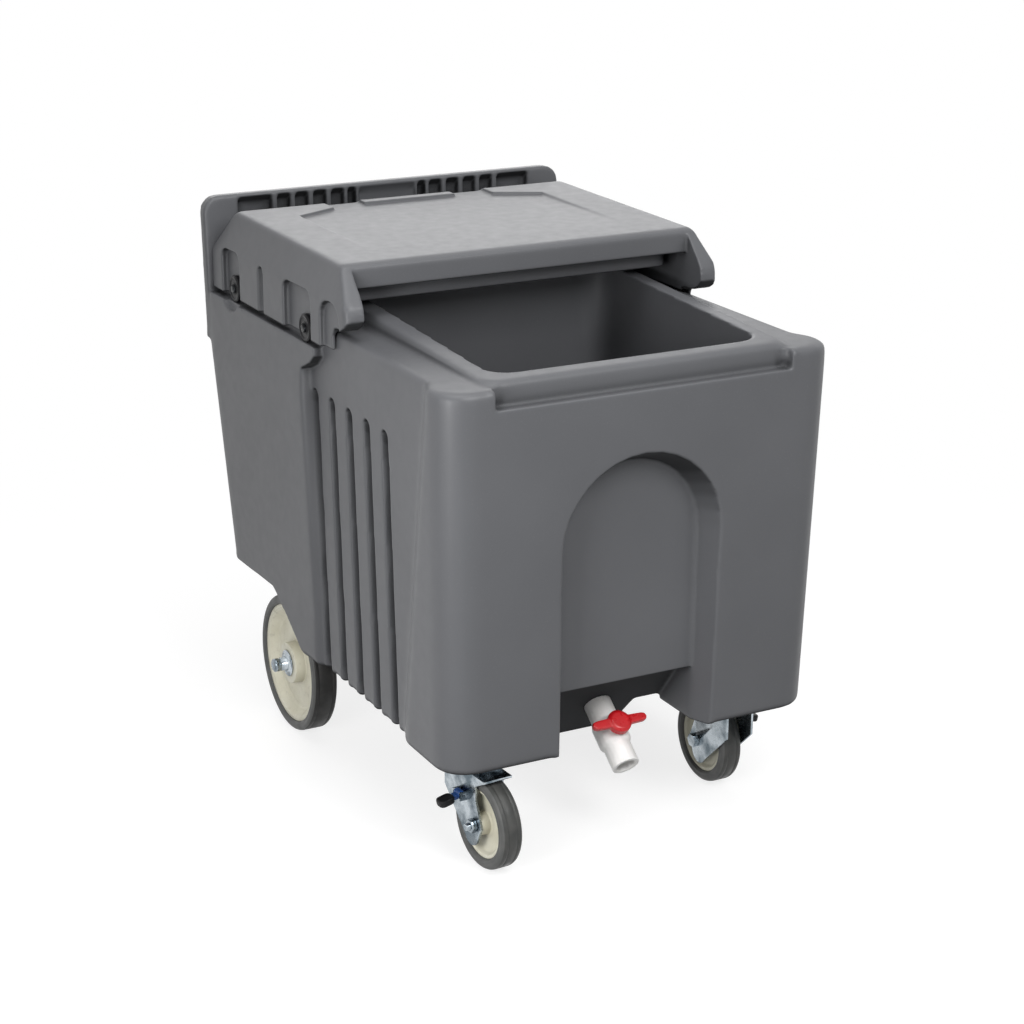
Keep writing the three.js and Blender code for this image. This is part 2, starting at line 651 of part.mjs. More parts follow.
function fluteCutters(side) {
  return Array.from({ length: FLUTE_COUNT }, (_, i) => {
    const y = FLUTE_REAR_Y - i * FLUTE_PITCH;
    const topZ = FLUTE_TOP_Z - FLUTE_R;
    const footZ = BOTTOM_Z - OVERRUN;
    return capsule(
      V(side * bayHalf(footZ), y - FLUTE_LEAN, footZ),
      V(side * bayHalf(topZ), y, topZ),
      FLUTE_R,
    );
  });
}

// The front end of a roller track, standing out ahead of the step
function trackNose(side) {
  const front = STEP_Y - TRACK_LENGTH;
  const profile = [
    [STEP_Y + SINK, TRACK_Z],
    [front, TRACK_Z],
    [front, TRACK_Z - TRACK_NOSE_DEPTH],
    [front + TRACK_LENGTH / 3, TRACK_Z - TRACK_NOSE_HEIGHT * 0.62],
    [STEP_Y + SINK, TRACK_Z - TRACK_NOSE_HEIGHT],
  ];
  return prismX(profile, side * (bayHalf(TRACK_Z) - SINK), side * STEP_HALF);
}

function trackScoop(side) {
  const inner = STEP_HALF + (REAR_HALF - STEP_HALF) * 0.5 - TRACK_SCOOP_DEPTH;
  return rod(
    V(side * inner, ROLLER_REAR_Y, ROLLER_Z),
    V(side * (REAR_HALF + OVERRUN), ROLLER_REAR_Y, ROLLER_Z),
    TRACK_SCOOP_R,
    CASTER_FACETS,
  );
}

// Everything below the rear part: the curved wheel-arch edge, open to the back
function rearUndercut() {
  const curve = new THREE.CatmullRomCurve3([
    V(ARCH_EDGE_FRONT_Y - OVERRUN, BOTTOM_Z - OVERRUN, 0),
    V(ARCH_EDGE_FRONT_Y, BOTTOM_Z, 0),
    V((ARCH_EDGE_FRONT_Y + ARCH_EDGE_REAR_Y) / 2, (BOTTOM_Z + REAR_BOTTOM_Z) / 2, 0),
    V(ARCH_EDGE_REAR_Y - OVERRUN, REAR_BOTTOM_Z - OVERRUN, 0),
    V(ARCH_EDGE_REAR_Y + OVERRUN, REAR_BOTTOM_Z, 0),
  ]);
  const edge = curve.getPoints(ARC_STEPS * 2).map((p) => [p.x, p.y]);
  const back = REAR_Y + OVERRUN;
  const profile = [...edge, [back, REAR_BOTTOM_Z], [back, BOTTOM_Z - OVERRUN]];
  return prismX(profile, -REAR_HALF - OVERRUN, REAR_HALF + OVERRUN);
}

function wheelWell(side) {
  const inner = REAR_WHEEL_FACE_X - REAR_TYRE_WIDTH - WHEEL_SIDE_ROOM * 2;
  return rod(
    V(side * inner, REAR_WHEEL_Y, REAR_WHEEL_R),
    V(side * (REAR_WHEEL_FACE_X + WHEEL_SIDE_ROOM), REAR_WHEEL_Y, REAR_WHEEL_R),
    REAR_WHEEL_R + WHEEL_ROOM,
    WHEEL_FACETS,
  );
}

function axleLeg(side) {
  const profile = [
    [REAR_WHEEL_Y - LEG_TOP_HALF, LEG_TOP_Z],
    ...arc(REAR_WHEEL_Y, REAR_WHEEL_R, LEG_END_R, 180, 360, ARC_STEPS * 2),
    [REAR_WHEEL_Y + LEG_TOP_HALF, LEG_TOP_Z],
  ];
  return prismX(profile, side * LEG_INNER_X, side * LEG_OUTER_X);
}

function handlePanel() {
  const low = STEP_HALF + (REAR_HALF - STEP_HALF) * 0.8;
  const outline = [
    [-low, PANEL_FOOT_Z],
    [low, PANEL_FOOT_Z],
    ...arc(PANEL_HALF - PANEL_R, PANEL_TOP_Z - PANEL_R, PANEL_R, 0, 90),
    ...arc(-PANEL_HALF + PANEL_R, PANEL_TOP_Z - PANEL_R, PANEL_R, 90, 180),
  ];
  return prismY(outline, PANEL_FRONT_Y, REAR_Y, PANEL_EDGE_R);
}

// Recesses in the panel's front face, each under the round bar that the hand closes round
function gripRecess(from, to, depth) {
  const face = PANEL_FRONT_Y;
  const profile = [
    [face - OVERRUN, GRIP_BOTTOM_Z],
    [face + depth, GRIP_BOTTOM_Z],
    [face + depth, GRIP_BAR_Z],
    [face + depth * 0.8, (GRIP_BAR_Z * 2 + GRIP_TOP_Z) / 3],
    [face + depth * 0.4, (GRIP_BAR_Z + GRIP_TOP_Z * 2) / 3],
    [face, GRIP_TOP_Z],
    [face - OVERRUN, GRIP_TOP_Z],
  ];
  return prismX(profile, from, to);
}
function gripCutters(side) {
  const recess = (start, length) => gripRecess(side * start, side * (start + length), GRIP_DEPTH);
  const fingers = Array.from({ length: GRIP_FINGERS }, (_, i) =>
    recess(GRIP_FINGER_START + i * GRIP_FINGER_PITCH, GRIP_FINGER_PITCH - GRIP_FINGER_LAND),
  );
  const first = recess(GRIP_CENTRE_HALF + GRIP_FIRST_LAND, GRIP_FIRST_LENGTH);
  const palm = recess(GRIP_FINGER_START + GRIP_FINGERS * GRIP_FINGER_PITCH, GRIP_PALM_LENGTH);
  return [first, ...fingers, palm];
}

function boltHoles(side) {
  const holes = [];
  for (const [x, y] of boltPlaces())
    holes.push(
      rod(
        V(side * (CASTER_X + x), CASTER_Y + y, BOTTOM_Z - OVERRUN),
        V(side * (CASTER_X + x), CASTER_Y + y, BOTTOM_Z + BOLT_REACH + FIT),
        BOLT_R + FIT,
        SMALL_FACETS,
      ),
    );
  return holes;
}
function boltPlaces() {
  return [-1, 1].flatMap((sx) => [-1, 1].map((sy) => [sx * PLATE_BOLT_X, sy * PLATE_BOLT_Y]));
}

function binBody() {
  let body = bodyShell();
  body = body.subtract(rearUndercut());
  body = cutBy(body, frontCutters());
  body = joined([body, rimBlock(), handlePanel(), sump()]);
  body = joined([body, axleLeg(-1), axleLeg(1), trackNose(-1), trackNose(1)]);
  body = cutBy(body, wellCutters());
  for (const side of [-1, 1]) {
    body = cutBy(body, [...fluteCutters(side), wheelWell(side), trackScoop(side)]);
    body = cutBy(body, [...gripCutters(side), ...boltHoles(side)]);
  }
  const axleBore = rod(V(-LEG_OUTER_X - OVERRUN, REAR_WHEEL_Y, REAR_WHEEL_R),
    V(LEG_OUTER_X + OVERRUN, REAR_WHEEL_Y, REAR_WHEEL_R), AXLE_R + FIT);
  const drainBore = rod(alongDrain(-DRAIN_LENGTH - OVERRUN), alongDrain(OVERRUN), NIPPLE_R + FIT);
  const middle = gripRecess(-GRIP_CENTRE_HALF, GRIP_CENTRE_HALF, GRIP_CENTRE_DEPTH);
  return bothSides(cutBy(body, [axleBore, drainBore, middle]));
}

function drainShelf() {
  const inset = WELL_TAPER + SHELF_PLAY;
  const [low, high] = [SHELF_Z + GAP, SHELF_Z + GAP + SHELF_THICKNESS];
  const plate = tub(WELL_PLAN, [[low, inset], [high, inset]]);
  const half = WELL_HALF - inset - SHELF_BORDER;
  const [front, rear] = [WELL_FRONT_Y + inset + SHELF_BORDER, WELL_REAR_Y - inset - SHELF_BORDER];
  const slotLength = (2 * half - (SHELF_COLUMN_COUNT - 1) * SHELF_SLOT_LAND) / SHELF_COLUMN_COUNT;
  const notch = SHELF_NOTCH_LENGTH / 2;
  const slots = [WELL_FRONT_Y + inset, WELL_REAR_Y - inset].map((edge) =>
    prismZ(
      roundedRectangle(-notch, notch, edge - SHELF_NOTCH_DEPTH, edge + SHELF_NOTCH_DEPTH, SHELF_NOTCH_R),
      low - OVERRUN,
      high + OVERRUN,
    ),
  );
  for (const c of [0, SHELF_COLUMN_COUNT - 1])
    for (let r = 0; r < SHELF_ROW_COUNT; r++) {
      const x = -half + c * (slotLength + SHELF_SLOT_LAND);
      const y = front + ((rear - front - SHELF_SLOT_WIDTH) * r) / (SHELF_ROW_COUNT - 1);
      const end = SHELF_SLOT_WIDTH / 2.01;
      const outline = roundedRectangle(x, x + slotLength, y, y + SHELF_SLOT_WIDTH, end, 2);
      slots.push(prismZ(outline, low - OVERRUN, high + OVERRUN));
    }
  return cutBy(plate, slots);
}

// Lid: half width of its sides at a height, and height of its top along Y
function lidHalfAt(z) {
  const share = THREE.MathUtils.clamp((z - LID_SHOULDER_Z) / (LID_FRONT_Z - LID_SHOULDER_Z), 0, 1.2);
  return LID_HALF - (LID_HALF - LID_TOP_HALF) * share;
}
const lidSlope = (LID_REAR_Z - LID_FRONT_Z) / (LID_REAR_TOP_Y - LID_FRONT_Y);
const lidTopAt = (y) => LID_FRONT_Z + lidSlope * (y - LID_FRONT_Y);

// Section of the lid across X with its own top height, drawn in sideways by tuck
function lidSection(y, top, tuck) {
  const half = lidHalfAt(top - LID_EDGE_R) - tuck;
  const roundTop = arc(half - LID_EDGE_R, top - LID_EDGE_R, LID_EDGE_R, 0, 90, 4);
  const shoulder = Math.min(LID_SHOULDER_Z, top - LID_EDGE_R * 1.2);
  const right = [[LID_HALF - tuck, SKIRT_BOTTOM_Z], [LID_HALF - tuck, shoulder], ...roundTop];
  const left = right.map(([x, z]) => [-x, z]).reverse();
  return [...right, ...left].map(([x, z]) => V(x, y, z));
}

function lidHull() {
  const noseTop = NOSE_Z + NOSE_R;
  const sections = [
    [NOSE_Y, NOSE_Z, NOSE_TUCK],
    [NOSE_Y + NOSE_R / 4, noseTop, NOSE_TUCK * 0.45],
    [NOSE_Y + NOSE_R, noseTop + NOSE_R * 1.1, NOSE_TUCK * 0.12],
    [LID_FRONT_Y - LID_EDGE_R / 2, LID_FRONT_Z - LID_EDGE_R, 0],
    [LID_FRONT_Y, LID_FRONT_Z - LID_EDGE_R / 3, 0],
    [LID_FRONT_Y + LID_EDGE_R, lidTopAt(LID_FRONT_Y + LID_EDGE_R), 0],
    [LID_REAR_TOP_Y - LID_EDGE_R / 2, lidTopAt(LID_REAR_TOP_Y - LID_EDGE_R / 2), 0],
    [LID_REAR_TOP_Y + LID_EDGE_R / 2, LID_REAR_Z - LID_EDGE_R / 2, 0],
    [LID_REAR_Y - LID_EDGE_R / 3, LID_REAR_EDGE_Z + LID_EDGE_R / 3, 0],
    [LID_REAR_Y, LID_REAR_EDGE_Z - LID_EDGE_R / 2, 0],
  ];
  return loft(sections.map(([y, top, tuck]) => lidSection(y, top, tuck)), (p) => new THREE.Vector2(p.x, p.z));
}

// Space under and ahead of the lid that its walls and cheeks leave open
function lidHollows() {
  const innerHalf = LID_HALF - LID_WALL;
  const fascia = LID_FRONT_Y - FASCIA_SETBACK;
  const low = SKIRT_BOTTOM_Z - OVERRUN;
  const deck = DECK_Z + LID_DECK_CLEARANCE;
  const ahead = prismX(
    rectangle(NOSE_Y - OVERRUN, fascia, low, LID_REAR_Z + OVERRUN),
    -innerHalf,
    innerHalf,
  );
  const inside = prismX(
    rectangle(fascia - OVERRUN, LID_REAR_Y - LID_REAR_WALL, low, LID_SLAB_Z),
    -innerHalf,
    innerHalf,
  );
  const skirtHalf = LID_HALF - SKIRT_WALL;
  const between = prismX(rectangle(NOSE_Y - OVERRUN, LID_REAR_Y + OVERRUN, low, deck), -skirtHalf, skirtHalf);
  const cheekFoot = [
    [NOSE_Y - OVERRUN, low],
    [SKIRT_FRONT_Y, low],
    [SKIRT_FRONT_Y, deck - SKIRT_LEG_R / 2],
    [SKIRT_FRONT_Y - SKIRT_LEG_R / 2, deck + SKIRT_LEG_R / 3],
    [SKIRT_FRONT_Y - SKIRT_LEG_R, CHEEK_BOTTOM_Z - SKIRT_LEG_R / 6],
    [NOSE_Y + NOSE_R * 2.2, CHEEK_BOTTOM_Z],
    [NOSE_Y + NOSE_R, CHEEK_BOTTOM_Z + NOSE_R * 0.7],
    [NOSE_Y, NOSE_Z - NOSE_R],
    [NOSE_Y - OVERRUN, NOSE_Z - NOSE_R],
  ];
  return [ahead, inside, between, prismX(cheekFoot, -LID_HALF - OVERRUN, LID_HALF + OVERRUN)];
}

function topPanelCutter() {
  const tabRear = LID_REAR_TOP_Y + OVERRUN;
  const outline = [
    [-TOP_PANEL_HALF, TOP_PANEL_FRONT_Y],
    [TOP_PANEL_HALF, TOP_PANEL_FRONT_Y],
    [TOP_PANEL_HALF, TOP_PANEL_SIDE_Y],
    [TOP_PANEL_WAIST_HALF, TOP_PANEL_WAIST_Y],
    [TOP_PANEL_WAIST_HALF, tabRear],
    [TOP_PANEL_TAB_HALF, tabRear],
    [TOP_PANEL_TAB_HALF, TOP_PANEL_TAB_Y],
    [-TOP_PANEL_TAB_HALF, TOP_PANEL_TAB_Y],
    [-TOP_PANEL_TAB_HALF, tabRear],
    [-TOP_PANEL_WAIST_HALF, tabRear],
    [-TOP_PANEL_WAIST_HALF, TOP_PANEL_WAIST_Y],
    [-TOP_PANEL_HALF, TOP_PANEL_SIDE_Y],
  ];
  const perLength = TOP_PANEL_DEPTH / (TOP_PANEL_SIDE_Y - TOP_PANEL_FADE_Y);
  const floor = outline.map(([x, y]) => V(x, y, lidTopAt(y) - perLength * (y - TOP_PANEL_FADE_Y)));
  const above = outline.map(([x, y]) => V(x, y, LID_REAR_Z + OVERRUN));
  return loft([floor, above]);
}

function skirtPocket(side, front, rear, depth, radius) {
  const outline = [
    [front, SKIRT_BOTTOM_Z - OVERRUN],
    [rear, SKIRT_BOTTOM_Z - OVERRUN],
    ...arc(rear - radius, POCKET_TOP_Z - radius, radius, 0, 90),
    ...arc(front + radius, POCKET_TOP_Z - radius, radius, 90, 180),
  ];
  return prismX(outline, side * (LID_HALF - depth), side * (LID_HALF + OVERRUN));
}

function lidSideCutters(side) {
  const wall = side * (LID_HALF - SKIRT_WALL - OVERRUN);
  const boltHole = (y) =>
    rod(V(wall, y, ROLLER_Z), V(side * LID_HALF, y, ROLLER_Z), ROLLER_BOLT_R + FIT, SMALL_FACETS);
  return [
    skirtPocket(side, REAR_POCKET_FRONT_Y, REAR_POCKET_REAR_Y, POCKET_DEPTH, POCKET_R),
    skirtPocket(side, FRONT_POCKET_FRONT_Y, FRONT_POCKET_REAR_Y, POCKET_DEPTH, POCKET_R),
    skirtPocket(side, NOSE_POCKET_FRONT_Y, NOSE_POCKET_REAR_Y, NOSE_POCKET_DEPTH, NOSE_POCKET_R),
    capsule(
      V(side * LID_HALF, SKIRT_FLUTE_Y, SKIRT_BOTTOM_Z - OVERRUN),
      V(side * LID_HALF, SKIRT_FLUTE_Y, POCKET_TOP_Z - SKIRT_FLUTE_R),
      SKIRT_FLUTE_R,
    ),
    boltHole(ROLLER_REAR_Y),
    boltHole(ROLLER_FRONT_Y),
  ];
}

function slidingLid() {
  let lid = cutBy(lidHull(), lidHollows());
  const plug = prismZ(
    roundedRectangle(-LID_PLUG_HALF, LID_PLUG_HALF, LID_PLUG_FRONT_Y, LID_PLUG_REAR_Y, LID_PLUG_R),
    LID_PLUG_Z,
    LID_SLAB_Z + SINK,
  );
  lid = lid.add(plug).subtract(topPanelCutter());
  for (const side of [-1, 1]) lid = cutBy(lid, lidSideCutters(side));
  return lid;
}

// A tyre with round shoulders on a rim that lies outX inside its face; x runs from the wheel's middle
function tyre(radius, width, depth, shoulder, facets) {
  const half = width / 2;
  const inner = radius - depth;
  const profile = [
    [-half * 0.86, inner],
    [-half, inner + depth * 0.2],
    ...arc(-half + shoulder, radius - shoulder, shoulder, 180, 90, 2),
    ...arc(half - shoulder, radius - shoulder, shoulder, 90, 0, 2),
    [half, inner + depth * 0.2],
    [half * 0.86, inner],
  ];
  return wheelX(profile, facets);
}

function rearHub() {
  const outer = REAR_WHEEL_R - REAR_TYRE_DEPTH - GAP;
  const rimHalf = REAR_RIM_WIDTH / 2;
  const webHalf = REAR_WEB / 2;
  const face = REAR_TYRE_WIDTH / 2 - REAR_BOSS_SINK;
  const back = REAR_WHEEL_FACE_X - REAR_TYRE_WIDTH / 2 - LEG_OUTER_X - FIT;
  const rim = outer - REAR_RIM_DEPTH;
  const profile = [
    [-back, AXLE_R + FIT],
    [-back, REAR_BOSS_INNER_R],
    [-webHalf, REAR_BOSS_INNER_R + SINK],
    [-webHalf, rim - SINK],
    [-rimHalf, rim],
    [-rimHalf, outer],
    [rimHalf, outer],
    [rimHalf, rim],
    [webHalf, rim - SINK / 2],
    [webHalf, REAR_BOSS_R + SINK / 2],
    [face, REAR_BOSS_R],
    [face, AXLE_R + FIT],
  ];
  return wheelX(profile, WHEEL_FACETS);
}

function casterHub() {
  const outer = CASTER_R - CASTER_TYRE_DEPTH - GAP;
  const rimHalf = CASTER_RIM_WIDTH / 2;
  const webHalf = CASTER_WEB / 2;
  const bossHalf = CASTER_TYRE_WIDTH / 2 + FORK_PLAY - FIT;
  const bore = CASTER_AXLE_R + FIT;
  const right = [
    [rimHalf, outer],
    [rimHalf, outer - CASTER_RIM_DEPTH],
    [webHalf, outer - CASTER_RIM_DEPTH - SINK],
    [webHalf, CASTER_BOSS_R + SINK],
    [bossHalf, CASTER_BOSS_R],
    [bossHalf, bore],
  ];
  const left = right.map(([x, r]) => [-x, r]).reverse();
  return wheelX([...right, ...left], CASTER_FACETS);
}

const CASTER_LEG_X = CASTER_TYRE_WIDTH / 2 + FORK_PLAY; // inner face of a fork leg
const CASTER_CROWN_Z = BOTTOM_Z - GAP - PLATE_THICKNESS - RACE_HEIGHT - GAP; // top of the crown

function casterPlate() {
  const top = BOTTOM_Z - GAP;
  const low = top - PLATE_THICKNESS;
  const outline = roundedRectangle(-PLATE_HALF_X, PLATE_HALF_X, -PLATE_HALF_Y, PLATE_HALF_Y, PLATE_R, 3);
  const race = turnedZ(
    [
      [low - RACE_HEIGHT, 0],
      [low - RACE_HEIGHT, RACE_R - SINK],
      [low - RACE_HEIGHT / 2, RACE_R],
      [low + PLATE_THICKNESS / 2, RACE_R],
      [low + PLATE_THICKNESS / 2, 0],
    ],
    CASTER_FACETS,
  );
  const holes = boltPlaces().map(([x, y]) =>
    rod(V(x, y, low - OVERRUN), V(x, y, top + OVERRUN), BOLT_R + FIT, SMALL_FACETS),
  );
  const pinHole = rod(V(0, 0, low - RACE_HEIGHT - OVERRUN), V(0, 0, low), KINGPIN_R + FIT);
  return cutBy(prismZ(outline, low, top).add(race), [...holes, pinHole]);
}

function casterFork() {
  const crown = CASTER_CROWN_Z;
  const bridge = crown - FORK_CROWN_HEIGHT;
  const legOuter = CASTER_LEG_X + FORK_SHEET;
  const dish = turnedZ(
    [
      [bridge - FORK_SHEET / 2, 0],
      [bridge - FORK_SHEET / 2, FORK_CROWN_R],
      [bridge, FORK_CROWN_R],
      [crown, FORK_CROWN_R - SINK],
      [crown, 0],
    ],
    CASTER_FACETS,
  );
  const under = bridge - FORK_SHEET;
  const plate = prismX(rectangle(FORK_HEAD_Y, FORK_BRIDGE_Y, under, bridge), -legOuter, legOuter);
  const lip = prismX(
    rectangle(FORK_BRIDGE_Y - FORK_SHEET, FORK_BRIDGE_Y, bridge - FORK_LIP, bridge),
    -legOuter,
    legOuter,
  );
  const [toeY, toe] = [CASTER_TRAIL - FORK_TOE_R / 2, FORK_TOE_Z + FORK_TOE_R];
  const leg = [
    [FORK_BRIDGE_Y, bridge],
    [FORK_HEAD_Y, bridge],
    [FORK_HEAD_Y, BRAKE_Z - BRAKE_BARREL_R],
    ...arc(toeY, toe, FORK_TOE_R, FORK_TOE_FROM_DEG, FORK_TOE_TO_DEG, ARC_STEPS + 2),
    [CASTER_TRAIL + FORK_TOE_R, CASTER_R],
    [FORK_CHEEK_Y, BRAKE_Z],
    [FORK_CHEEK_Y, bridge - FORK_LIP * 2],
    [FORK_BRIDGE_Y, bridge - FORK_LIP],
  ];
  const legs = [-1, 1].map((side) => prismX(leg, side * CASTER_LEG_X, side * legOuter));
  const earStart = BRAKE_BARREL_LENGTH / 2 + FIT;
  const ears = [-1, 1].map((side) => {
    const reach = legOuter + FIT + 2 * BRAKE_BARREL_R;
    const [low, high] = [BRAKE_Z - BRAKE_BARREL_R, BRAKE_Z + BRAKE_BARREL_R];
    return prismY(
      rectangle(legOuter - FORK_SHEET / 2, reach, low, high),
      BRAKE_Y + side * earStart,
      BRAKE_Y + side * (earStart + BRAKE_EAR),
    );
  });
  const far = legOuter + BRAKE_BARREL_R * 3;
  return cutBy(joined([dish, plate, lip, ...legs, ...ears]), [
    rod(V(0, 0, bridge - OVERRUN), V(0, 0, crown + OVERRUN), KINGPIN_R + FIT),
    rod(V(-far, CASTER_TRAIL, CASTER_R), V(far, CASTER_TRAIL, CASTER_R), CASTER_AXLE_R + FIT),
    rod(brakeAxis(-BRAKE_BARREL_LENGTH), brakeAxis(BRAKE_BARREL_LENGTH), BRAKE_PIN_R + GAP, SMALL_FACETS),
  ]);
}
const BRAKE_X = CASTER_LEG_X + FORK_SHEET + FIT + BRAKE_BARREL_R;
const brakeAxis = (along) => V(BRAKE_X, BRAKE_Y + along, BRAKE_Z);

function kingpin() {
  const crownLow = CASTER_CROWN_Z - FORK_CROWN_HEIGHT - FORK_SHEET;
  const top = BOTTOM_Z - GAP - PLATE_THICKNESS - GAP;
  return turnedZ(
    [
      [crownLow - GAP - KINGPIN_HEAD, 0],
      [crownLow - GAP - KINGPIN_HEAD, KINGPIN_HEAD_R - KINGPIN_HEAD / 2],
      [crownLow - GAP, KINGPIN_HEAD_R],
      [crownLow - GAP, KINGPIN_R],
      [top, KINGPIN_R],
      [top, 0],
    ],
    ROD_FACETS,
  );
}

function hexagon(radius) {
  return Array.from({ length: 6 }, (_, i) => [
    radius * Math.cos((i * Math.PI) / 3),
    radius * Math.sin((i * Math.PI) / 3),
  ]);
}
function casterAxle() {
  const face = CASTER_LEG_X + FORK_SHEET + GAP;
  const head = prismX(hexagon(CASTER_HEAD_R), -face - CASTER_HEAD, -face);
  const tip = face + CASTER_HEAD + CASTER_AXLE_TIP;
  const shank = rod(V(-face - CASTER_HEAD / 2, 0, 0), V(tip, 0, 0), CASTER_AXLE_R);
  return head.add(shank);
}
function casterNut() {
  const face = CASTER_LEG_X + FORK_SHEET + GAP;
  const nut = prismX(hexagon(CASTER_HEAD_R), face, face + CASTER_HEAD, CASTER_HEAD / 8);
  return nut.subtract(rod(V(0, 0, 0), V(face + CASTER_HEAD * 2, 0, 0), CASTER_AXLE_R + GAP));
}
function plateBolt() {
  const face = BOTTOM_Z - GAP - PLATE_THICKNESS - GAP;
  const head = prismZ(hexagon(BOLT_HEAD_R), face - BOLT_HEAD, face);
  return head.add(rod(V(0, 0, face - BOLT_HEAD / 2), V(0, 0, BOTTOM_Z + BOLT_REACH), BOLT_R, SMALL_FACETS));
}

// The brake's barrel and pedal, drawn from the pivot along +X
function brakeBarrel() {
  const half = BRAKE_BARREL_LENGTH / 2;
  const barrel = rod(V(0, -half, 0), V(0, half, 0), BRAKE_BARREL_R);
  const neck = prismX(
    rectangle(-half * 0.6, half * 0.6, -BRAKE_BARREL_R * 0.6, BRAKE_BARREL_R * 0.6),
    BRAKE_BARREL_R / 2,
    BRAKE_BARREL_R + PEDAL_NECK,
  );
  const bore = rod(V(0, -half - OVERRUN, 0), V(0, half + OVERRUN, 0), BRAKE_PIN_R + GAP, SMALL_FACETS);
  return barrel.add(neck).subtract(bore);
}
function brakePedal() {
  const start = BRAKE_BARREL_R + PEDAL_NECK + GAP;
  const half = PEDAL_WIDTH / 2;
  const outline = roundedRectangle(start, start + PEDAL_LENGTH, -half, half, PEDAL_WIDTH / 3, 3);
  return prismZ(outline, -PEDAL_THICKNESS / 2, PEDAL_THICKNESS / 2, PEDAL_THICKNESS / 5);
}

// Drain pieces in the drain's own frame
function nipple() {
  const ring = (radius) => rod(V(0, NIPPLE_IN, 0), V(0, -NIPPLE_OUT, 0), radius);
  return ring(NIPPLE_R).subtract(
    rod(V(0, NIPPLE_IN + OVERRUN, 0), V(0, -NIPPLE_OUT - OVERRUN, 0), NIPPLE_BORE_R),
  );
}
const VALVE_MIDDLE = VALVE_LENGTH / 2;
function valveBody() {
  const from = VALVE_MIDDLE - VALVE_BELLY / 2;
  const to = VALVE_MIDDLE + VALVE_BELLY / 2;
  const chamber = BALL_R + GAP;
  const profile = [
    [NIPPLE_R + FIT, 0],
    [VALVE_R, 0],
    [VALVE_R, from],
    [VALVE_BELLY_R, from + VALVE_SHOULDER],
    [VALVE_BELLY_R, to - VALVE_SHOULDER],
    [VALVE_R, to],
    [VALVE_R, VALVE_LENGTH],
    [NIPPLE_R + FIT, VALVE_LENGTH],
    [NIPPLE_R + FIT, to],
    [VALVE_BORE_R, to],
    [VALVE_BORE_R, VALVE_MIDDLE + chamber],
    [chamber, VALVE_MIDDLE + chamber],
    [chamber, VALVE_MIDDLE - chamber],
    [VALVE_BORE_R, VALVE_MIDDLE - chamber],
    [VALVE_BORE_R, NIPPLE_OUT + FIT],
    [NIPPLE_R + FIT, NIPPLE_OUT + FIT],
  ];
  const points = profile.map(([radius, along]) => new THREE.Vector2(radius, -along));
  const turned = solidOf(new THREE.LatheGeometry([...points, points[0]], 18));
  const boss = rod(V(0, -VALVE_MIDDLE, chamber + GAP), V(0, -VALVE_MIDDLE, STEM_BOSS_HEIGHT), STEM_BOSS_R);
  const hole = rod(V(0, -VALVE_MIDDLE, 0), V(0, -VALVE_MIDDLE, STEM_BOSS_HEIGHT + OVERRUN), STEM_R + GAP);
  return turned.add(boss).subtract(hole);
}
function valveBall() {
  const ball = solidOf(new THREE.SphereGeometry(BALL_R, 14, 8));
  const bore = rod(V(-BALL_R - OVERRUN, 0, 0), V(BALL_R + OVERRUN, 0, 0), BALL_BORE_R);
  const slot = prismX(
    rectangle(-BALL_SLOT / 2, BALL_SLOT / 2, BALL_R - BALL_SLOT, BALL_R + OVERRUN),
    -BALL_R,
    BALL_R,
  );
  return cutBy(ball, [bore, slot]);
}
function valveStem() {
  const top = STEM_BOSS_HEIGHT + GAP + HANDLE_HUB * 0.6;
  const stem = rod(V(0, 0, BALL_R + GAP), V(0, 0, top), STEM_R);
  const tongue = prismX(
    rectangle(-BALL_SLOT / 2 + GAP, BALL_SLOT / 2 - GAP, BALL_R - BALL_SLOT + GAP, BALL_R + SINK),
    -STEM_R * 0.8,
    STEM_R * 0.8,
  );
  return stem.add(tongue);
}
function valveHandle() {
  const low = STEM_BOSS_HEIGHT + GAP;
  const hub = turnedZ(
    [
      [low, 0],
      [low, HANDLE_HUB_R],
      [low + HANDLE_HUB * 0.75, HANDLE_HUB_R],
      [low + HANDLE_HUB, HANDLE_HUB_R * 0.75],
      [low + HANDLE_HUB, 0],
    ],
    20,
  );
  const wingLow = low + (HANDLE_HUB - HANDLE_WING) / 2;
  const end = HANDLE_HALF_LENGTH - HANDLE_TIP / 2;
  const outline = [
    ...arc(end, 0, HANDLE_TIP / 2, -90, 90, 4),
    [0, HANDLE_ROOT / 2],
    ...arc(-end, 0, HANDLE_TIP / 2, 90, 270, 4),
    [0, -HANDLE_ROOT / 2],
  ];
  const wings = prismZ(outline, wingLow, wingLow + HANDLE_WING, HANDLE_EDGE);
  const socket = rod(V(0, 0, low - OVERRUN), V(0, 0, low + HANDLE_HUB * 0.6 + GAP), STEM_R + GAP);
  return hub.add(wings).subtract(socket);
}

// Looks of the materials
const GREY_MOULDING = { color: 0x7b7d80, roughness: 0.55, metalness: 0 };
const CREAM_PLASTIC = { color: 0xcbc8b4, roughness: 0.5, metalness: 0 };
const GREY_RUBBER = { color: 0x66676a, roughness: 0.75, metalness: 0 };
const BLACK_PLASTIC = { color: 0x1c1c1e, roughness: 0.5, metalness: 0 };
const ZINC = { color: 0xb9bec2, roughness: 0.35, metalness: 0.9 };
const WHITE_PLASTIC = { color: 0xeeeeec, roughness: 0.4, metalness: 0 };
const RED_PLASTIC = { color: 0xc8232b, roughness: 0.4, metalness: 0 };
const BLUE_PLASTIC = { color: 0x27528f, roughness: 0.45, metalness: 0 };

function piece(group, name, solid, look, place = V(0, 0, 0), turn = [0, 0, 0]) {
  const mesh = new THREE.Mesh(geometryOf(solid), new THREE.MeshStandardMaterial(look));
  mesh.name = name;
  mesh.position.copy(place);
  mesh.rotation.set(...turn);
  group.add(mesh);
}

